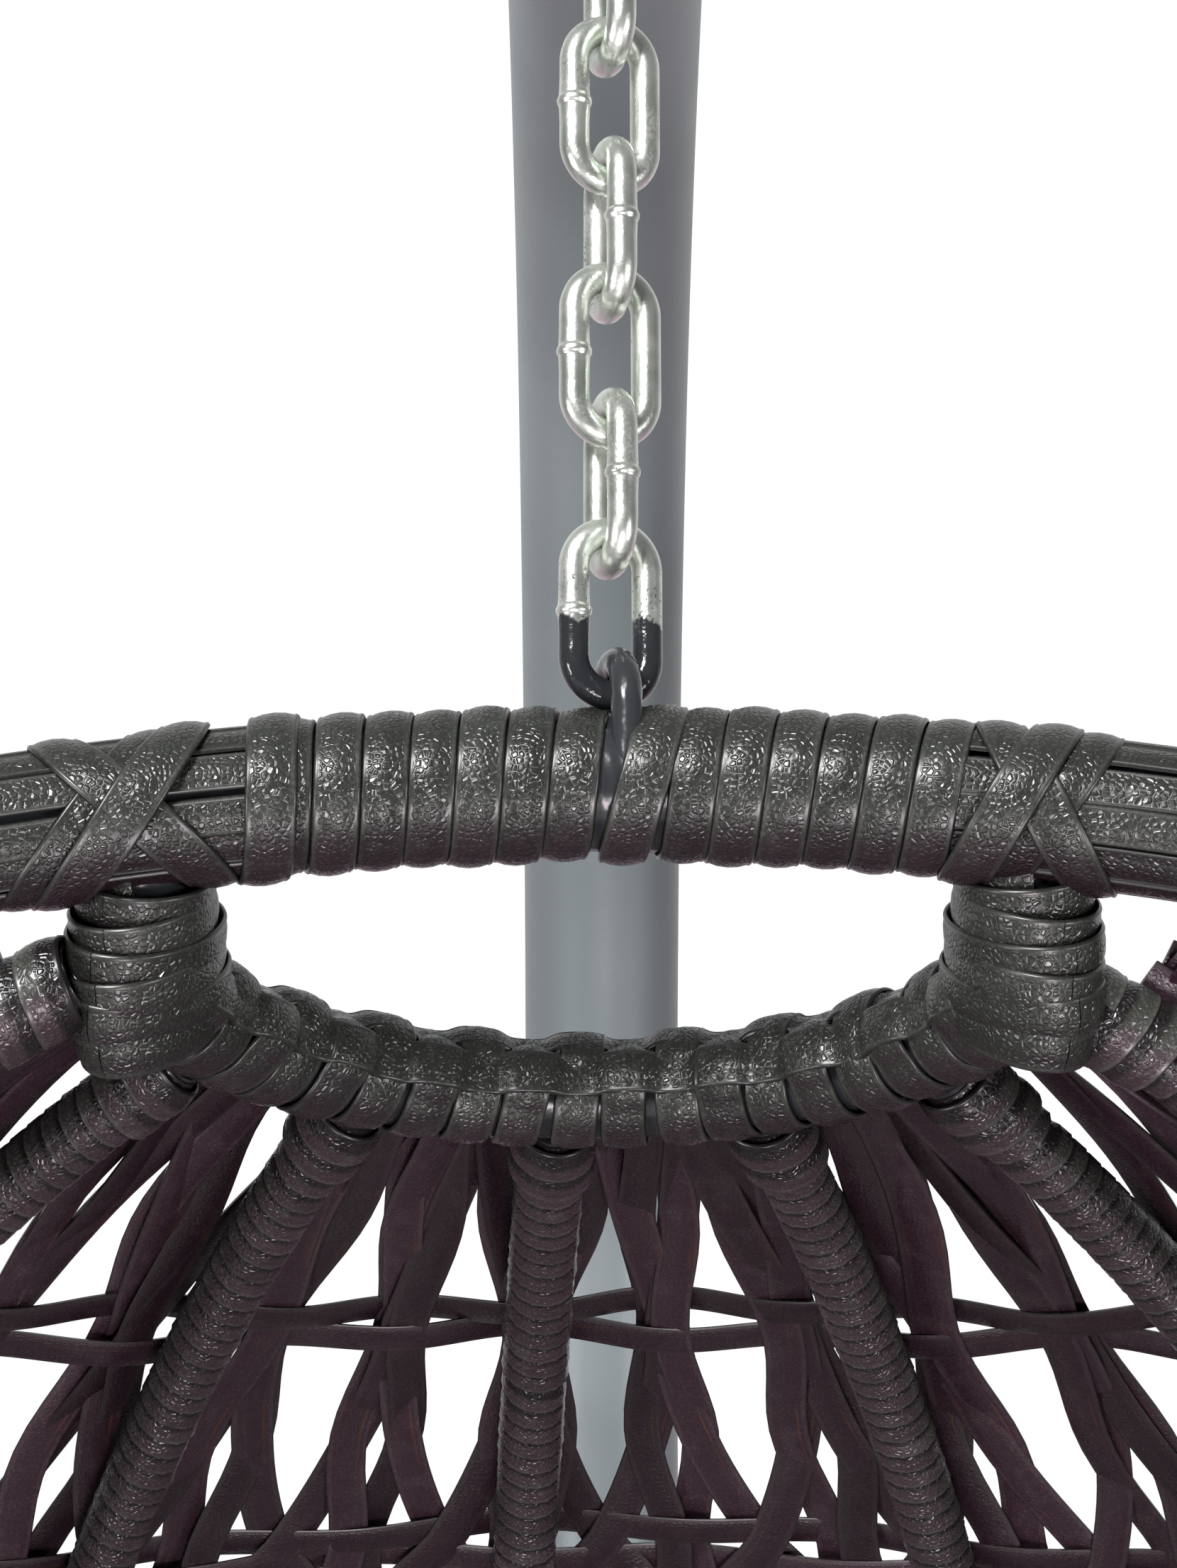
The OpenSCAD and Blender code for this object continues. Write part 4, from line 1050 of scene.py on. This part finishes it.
def skin_strip(u_line, r, depth, width, seed, tone, edge_turn=28.0):
    """A strip of the weave along a line of u and r."""
    rng = np.random.default_rng(seed)
    high = 1 - ease((r - R_TOP) / (0.25 - R_TOP))
    knots = rng.uniform(-1, 1, 16)
    sway = np.interp(r, np.linspace(R_TOP, R_LOW, 16), knots)
    d = SKIN + depth + rng.uniform(-1.5, 1.5) * high
    turn = rng.uniform(-edge_turn, edge_turn) * high + 9 * sway
    line, face = skin_point(u_line, r, d), skin_face(u_line, r)
    return strip(line, face, width, shape=PLAIN, twist=turn, tone=tone)


rng = np.random.default_rng(21)
uprights = []
for k in range(-SIDE_UNITS, UNITS + SIDE_UNITS + 1):
    for half in (-1, 1):
        r = np.linspace(R_TOP, R_LOW, 150)
        lower = ease((r - 1) / 3)
        spread = 0.13 + 0.12 * lower - 0.07 * np.cos(2 * math.pi * r) * (1 - 0.6 * lower)
        u = k + half * spread + 0.03 * np.sin(r * 1.7 + rng.uniform(0, 6))
        u = np.clip(fanned(u, r), -SIDE_UNITS + 0.05, UNITS + SIDE_UNITS - 0.05)
        depth = half * 1.5 * np.cos(math.pi * r + k * math.pi)
        uprights.append(skin_strip(u, r, depth, 9.8 + rng.uniform(-0.7, 0.7), 1000 + 7 * k + half,
                                   rng.uniform(0.15, 0.95)))
make_piece("back_uprights", uprights, BACK_CANE,
           stands_for=["weave_back_1", "weave_back_2", "weave_back_3"])


def lean_course(r):
    """How far a leaning strip has gone round at each round."""
    low, high = np.minimum(r, 0), np.clip(r, 0, 1)
    return 0.5 * low + 0.5 * high**1.7 + np.maximum(r - 1, 0) + 0.08 * np.sin(2 * math.pi * r) * (r > 1)


leaning = []
for lean in (-1, 1):
    for k in range(-SIDE_UNITS - ROUNDS - 1, UNITS + SIDE_UNITS + ROUNDS + 2):
        r = np.linspace(R_TOP, R_LOW, 200)
        u = k + lean * lean_course(r)
        inside = (u > -SIDE_UNITS + 0.05) & (u < UNITS + SIDE_UNITS - 0.05)
        if inside.sum() < 24:
            continue
        r, u = r[inside], u[inside]
        if r[0] < 0:
            u = np.clip(fanned(u, r, 0.15), -SIDE_UNITS + 0.05, UNITS + SIDE_UNITS - 0.05)
        depth = lean * 0.9 * np.cos(2 * math.pi * r)
        leaning.append(skin_strip(u, r, depth, 9.6 + rng.uniform(-0.8, 0.8), 3000 + 11 * k + lean,
                                  rng.uniform(0.15, 0.95)))
make_piece("back_leaning_strips", leaning, BACK_CANE,
           stands_for=["weave_back_4", "weave_back_5", "weave_back_6"])

# %% [markdown]
# The level rounds come in pairs that weave in and out of the uprights, one in front and one behind.

# %% Level rounds
ROUND_W = 8.6
ROUND_APART = 0.062
rounds = []
for row in range(ROUNDS + 1):
    for half in (-1, 1):
        u = np.linspace(-SIDE_UNITS + 0.02, UNITS + SIDE_UNITS - 0.02, 300)
        r = row + half * ROUND_APART + 0.02 * np.sin(u * 1.3 + row + half)
        depth = 2.0 * half * np.cos(math.pi * u + row * math.pi)
        rounds.append(skin_strip(u, r, depth, ROUND_W, 5000 + 2 * row + half, rng.uniform(0.2, 0.8), 10.0))
make_piece("back_rounds", rounds, BACK_CANE, stands_for=["weave_side_left", "weave_side_right"])

# %% [markdown]
# ## Hoops, bars and seat
# The hoop at the waist, the side bars, the seat ring and the seat bars are wound in the same close coil as
# the ribs, because bare steel would be cold and would rust.

# %% Coils on the hoops and bars
WAIST_DROP = 560
WAIST_R = 6
COIL_OUT = RIB_R + 1.1
BAR_S = 88
BAR_STEP = 120
SEAT_BAR_R = 8


def rib_radius(az, z):
    """Distance of a rib from the crown's upright axis at a height above that axis point."""
    a, wide, up_r, mid, low_turn, low_r = rib_shape(az)
    r = np.where(z > mid, up_r, low_r)
    return wide - r + np.sqrt(r * r - (z - mid) ** 2)


def with_frame(line, across):
    """A line with two cross directions, the first nearest to across."""
    along = unit(np.gradient(line, axis=0))
    out = unit(np.cross(along, np.broadcast_to(across, line.shape)))
    return line, unit(np.cross(out, along)), out


az = np.linspace(RIB_AZ[0] - 1, RIB_AZ[-1] + 1, 160)
waist_r = rib_radius(az, -WAIST_DROP - AXIS[2]) - COIL_OUT - 0.6 - WAIST_R
a = np.radians(az)
waist = np.stack([AXIS[0] + waist_r * np.sin(a), AXIS[1] + waist_r * np.cos(a), 0 * a - WAIST_DROP], -1)
wound = [wind(*with_frame(waist, [0, 0, 1.0]), WAIST_R + 0.3, 6.4, 8.2, steps=12, lift=8, wobble=0.2,
              shape=PLAIN, seed=61, tone=0.5)]
for side, az_end in ((-1, RIB_AZ[0]), (1, RIB_AZ[-1])):
    rim_end = rim_point(np.array([float(BAR_S)]))[0] * [side, 1, 1]
    z = rim_end[2] - AXIS[2]
    reach = float(rib_radius(np.array(float(az_end)), z))
    turn = math.radians(az_end)
    rib_end = AXIS + np.array([reach * math.sin(turn), reach * math.cos(turn), z])
    ahead = unit(rim_end - rib_end)
    line = rod_line(rib_end + ahead * (COIL_OUT + 1), rim_end - ahead * (COVER_R + 1), 60)
    wound.append(wind(*line, WAIST_R + 0.3, 6.4, 8.2, steps=12, lift=8, wobble=0.2, shape=PLAIN,
                      seed=63 + side, tone=0.45))
make_piece("hoop_coils", wound, RIB_CANE)

turn = np.radians(np.linspace(0, 360, 240))
ring = np.stack([SEAT_R * np.sin(turn), SEAT_BACK + SEAT_R * np.cos(turn), 0 * turn + SEAT_Z], -1)
wound = [wind(*with_frame(ring, [0, 0, 1.0]), SEAT_TUBE_R + 0.3, 8.4, 9.6, steps=14, lift=5, wobble=0.2,
              shape=PLAIN, seed=71, tone=0.5)]
for k in (-1, 0, 1):
    half = math.sqrt(SEAT_R**2 - (k * BAR_STEP) ** 2) - SEAT_TUBE_R - 4
    y = SEAT_BACK + k * BAR_STEP
    line = straight([-half, y, SEAT_Z], [half, y, SEAT_Z], 60)
    front = np.broadcast_to([0, 0, 1.0], line.shape)
    out = np.broadcast_to([0, -1.0, 0], line.shape)
    wound.append(wind(line, front, out, SEAT_BAR_R + 0.3, 8.4, 9.6, steps=12, lift=5, wobble=0.2,
                      shape=PLAIN, seed=74 + k, tone=0.4))
make_piece("seat_coils", wound, RIB_CANE)

# %% [markdown]
# Under the seat ring hangs a woven bottom. It is a plain weave, over one and under one, laid on a shallow
# bowl, and its strips run straight across.

# %% The woven bottom
DISH = 118
DISH_EDGE = SEAT_R - 2
DISH_BALL = (DISH_EDGE**2 + DISH**2) / (2 * DISH)
DISH_LOW = SEAT_Z - SEAT_TUBE_R - 0.7 - DISH
CELL = 17.0
DISH_W = 13.6


def bowl(x, y, lift):
    """A point of the bowl, lift inside its skin, and its outward direction."""
    rho = np.hypot(x, y)
    rise = np.sqrt(DISH_BALL**2 - rho**2)
    outward = np.stack([x, y, -rise], -1) / DISH_BALL
    point = np.stack([x, y + SEAT_BACK, DISH_LOW + DISH_BALL - rise], -1)
    return point - outward * lift[:, None], outward


rng = np.random.default_rng(31)
bottom = []
lanes = int(DISH_EDGE / CELL)
for cross in (0, 1):
    for k in range(-lanes, lanes + 1):
        half = math.sqrt(DISH_EDGE**2 - (k * CELL) ** 2) - 1
        run = np.linspace(-half, half, max(8, int(2 * half / CELL * 5)))
        wave = np.cos(run / CELL * math.pi) * (1 if (k + cross) % 2 else -1)
        lane = np.full_like(run, k * CELL + rng.uniform(-0.8, 0.8))
        point, outward = bowl(*((run, lane) if cross else (lane, run)), 1.4 + 0.75 * wave)
        bottom.append(strip(point, outward, DISH_W + rng.uniform(-0.8, 0.6), shape=PLAIN,
                            tone=rng.uniform(0.2, 0.9)))
make_piece("seat_bottom", bottom, BACK_CANE, stands_for=["seat_weave"])

# %% [markdown]
# ## Floor, light and camera
# The chair stands on a pale floor in a white room, which is how such things are shown for sale.

# %% Floor
FLOOR_R = 3.2


def pale_floor():
    """A round floor with a soft upturned edge, with a finish that is barely mottled."""
    rings = [(0.02, 0.0), (0.6, 0.0), (1.4, 0.0), (2.4, 0.0), (2.9, 0.01), (FLOOR_R, 0.06)]
    around = 72
    points, faces = [], []
    for r, z in rings:
        for k in range(around):
            turn = 2 * math.pi * k / around
            points.append((r * math.cos(turn), r * math.sin(turn), z - 0.0005))
    for i in range(len(rings) - 1):
        for k in range(around):
            j = (k + 1) % around
            faces.append((i * around + k, (i + 1) * around + k, (i + 1) * around + j, i * around + j))
    faces.append(tuple(range(around)))
    mesh = bpy.data.meshes.new("floor")
    mesh.from_pydata(points, [], faces)
    mesh.shade_smooth()
    finish, tree, shader, node = new_finish("pale floor")
    place = node("ShaderNodeTexCoord").outputs["Object"]
    shade = mixed(node, noise(node, place, 1.5), (0.80, 0.80, 0.79), (0.86, 0.86, 0.85))
    tree.links.new(shade, shader.inputs["Base Color"])
    shader.inputs["Roughness"].default_value = 0.6
    mesh.materials.append(finish)
    floor = bpy.data.objects.new("floor", mesh)
    bpy.context.scene.collection.objects.link(floor)
    return floor


print("floor radius", FLOOR_R, "m:", pale_floor().name)

# %% [markdown]
# The room's white comes from the world. For the surfaces it is bright behind and above and dim towards the
# viewer, so the dark cane keeps its depth and its edges catch the backdrop. One broad lamp in front, high
# up, gives the gleam along the upper side of each tube. A weaker one below lifts the plum undersides, and
# two small ones at the sides pick out the ribs.

# %% Light
EYE_WHITE = 1.05
DIM_SIDE = 0.035
BACKDROP = 0.75
CEILING = 0.25


def soft_lamp(name, at, aim, size, power, colour=(1, 1, 1)):
    """A square area lamp at a place, turned to a point."""
    lamp = bpy.data.lights.new(name, "AREA")
    lamp.size = size
    lamp.energy = power
    lamp.color = colour
    holder = bpy.data.objects.new(name, lamp)
    bpy.context.scene.collection.objects.link(holder)
    holder.location = at
    holder.rotation_euler = (Vector(aim) - Vector(at)).to_track_quat("-Z", "Y").to_euler()
    return holder


world = bpy.data.worlds.new("white room")
bpy.context.scene.world = world
world.use_nodes = True
sky = world.node_tree
sky_node = node_maker(sky)

look_at = sky_node("ShaderNodeSeparateXYZ", {0: sky_node("ShaderNodeTexCoord").outputs["Generated"]})
behind = fade(sky_node, look_at.outputs["Y"], -0.1, 0.9, 0.0, BACKDROP)
above = fade(sky_node, look_at.outputs["Z"], 0.1, 1.0, 0.0, CEILING)
room = sums(sky_node, "ADD", DIM_SIDE, sums(sky_node, "ADD", behind, above))
low = fade(sky_node, look_at.outputs["Z"], -0.5, 0.15)
tint = mixed(sky_node, low, (0.8, 0.45, 0.65), (1, 1, 1))
lit = sky_node("ShaderNodeBackground", {"Color": tint, "Strength": room})
seen = sky_node("ShaderNodeBackground", {"Color": (1, 1, 1, 1), "Strength": EYE_WHITE})
ray = sky_node("ShaderNodeLightPath")
parts = {0: ray.outputs["Is Camera Ray"], 1: lit.outputs[0], 2: seen.outputs[0]}
both = sky_node("ShaderNodeMixShader", parts)
sky.links.new(both.outputs[0], sky.nodes["World Output"].inputs[0])
bpy.context.scene.view_settings.view_transform = "Standard"

top = RIM_TOP * 0.001
soft_lamp("front lamp", (-0.65, -1.55, top + 0.9), (0, 0, top - 0.1), 0.6, 50)
soft_lamp("low lamp", (0.1, -1.15, 0.55), (0, 0.1, 1.5), 0.4, 11, (1.0, 0.90, 0.95))
soft_lamp("left lamp", (-1.25, -0.85, top - 0.35), (0, 0.1, top - 0.2), 0.4, 9)
soft_lamp("right lamp", (1.25, -0.85, top - 0.35), (0, 0.1, top - 0.2), 0.4, 9)

# %% [markdown]
# The camera stands close in front of the rim, a little under it, and looks up twelve degrees, as a person
# does who is about to sit down. The lens is a mild telephoto.

# %% Camera
SENSOR = 36.0
LENS = 68.354
LOOK_UP = 12.0
STAND_AT = (-4.3, -560.5, -119.0)

eye_cam = bpy.data.cameras.new("camera")
eye_cam.sensor_width = SENSOR
eye_cam.lens = LENS
eye_cam.clip_start = 0.02
camera = bpy.data.objects.new("camera", eye_cam)
bpy.context.scene.collection.objects.link(camera)
camera.location = to_metres([STAND_AT])[0]
camera.rotation_euler = (math.radians(90 + LOOK_UP), 0, 0)
bpy.context.scene.camera = camera
print("camera at", [round(v, 4) for v in camera.location], "lens", round(eye_cam.lens, 2))
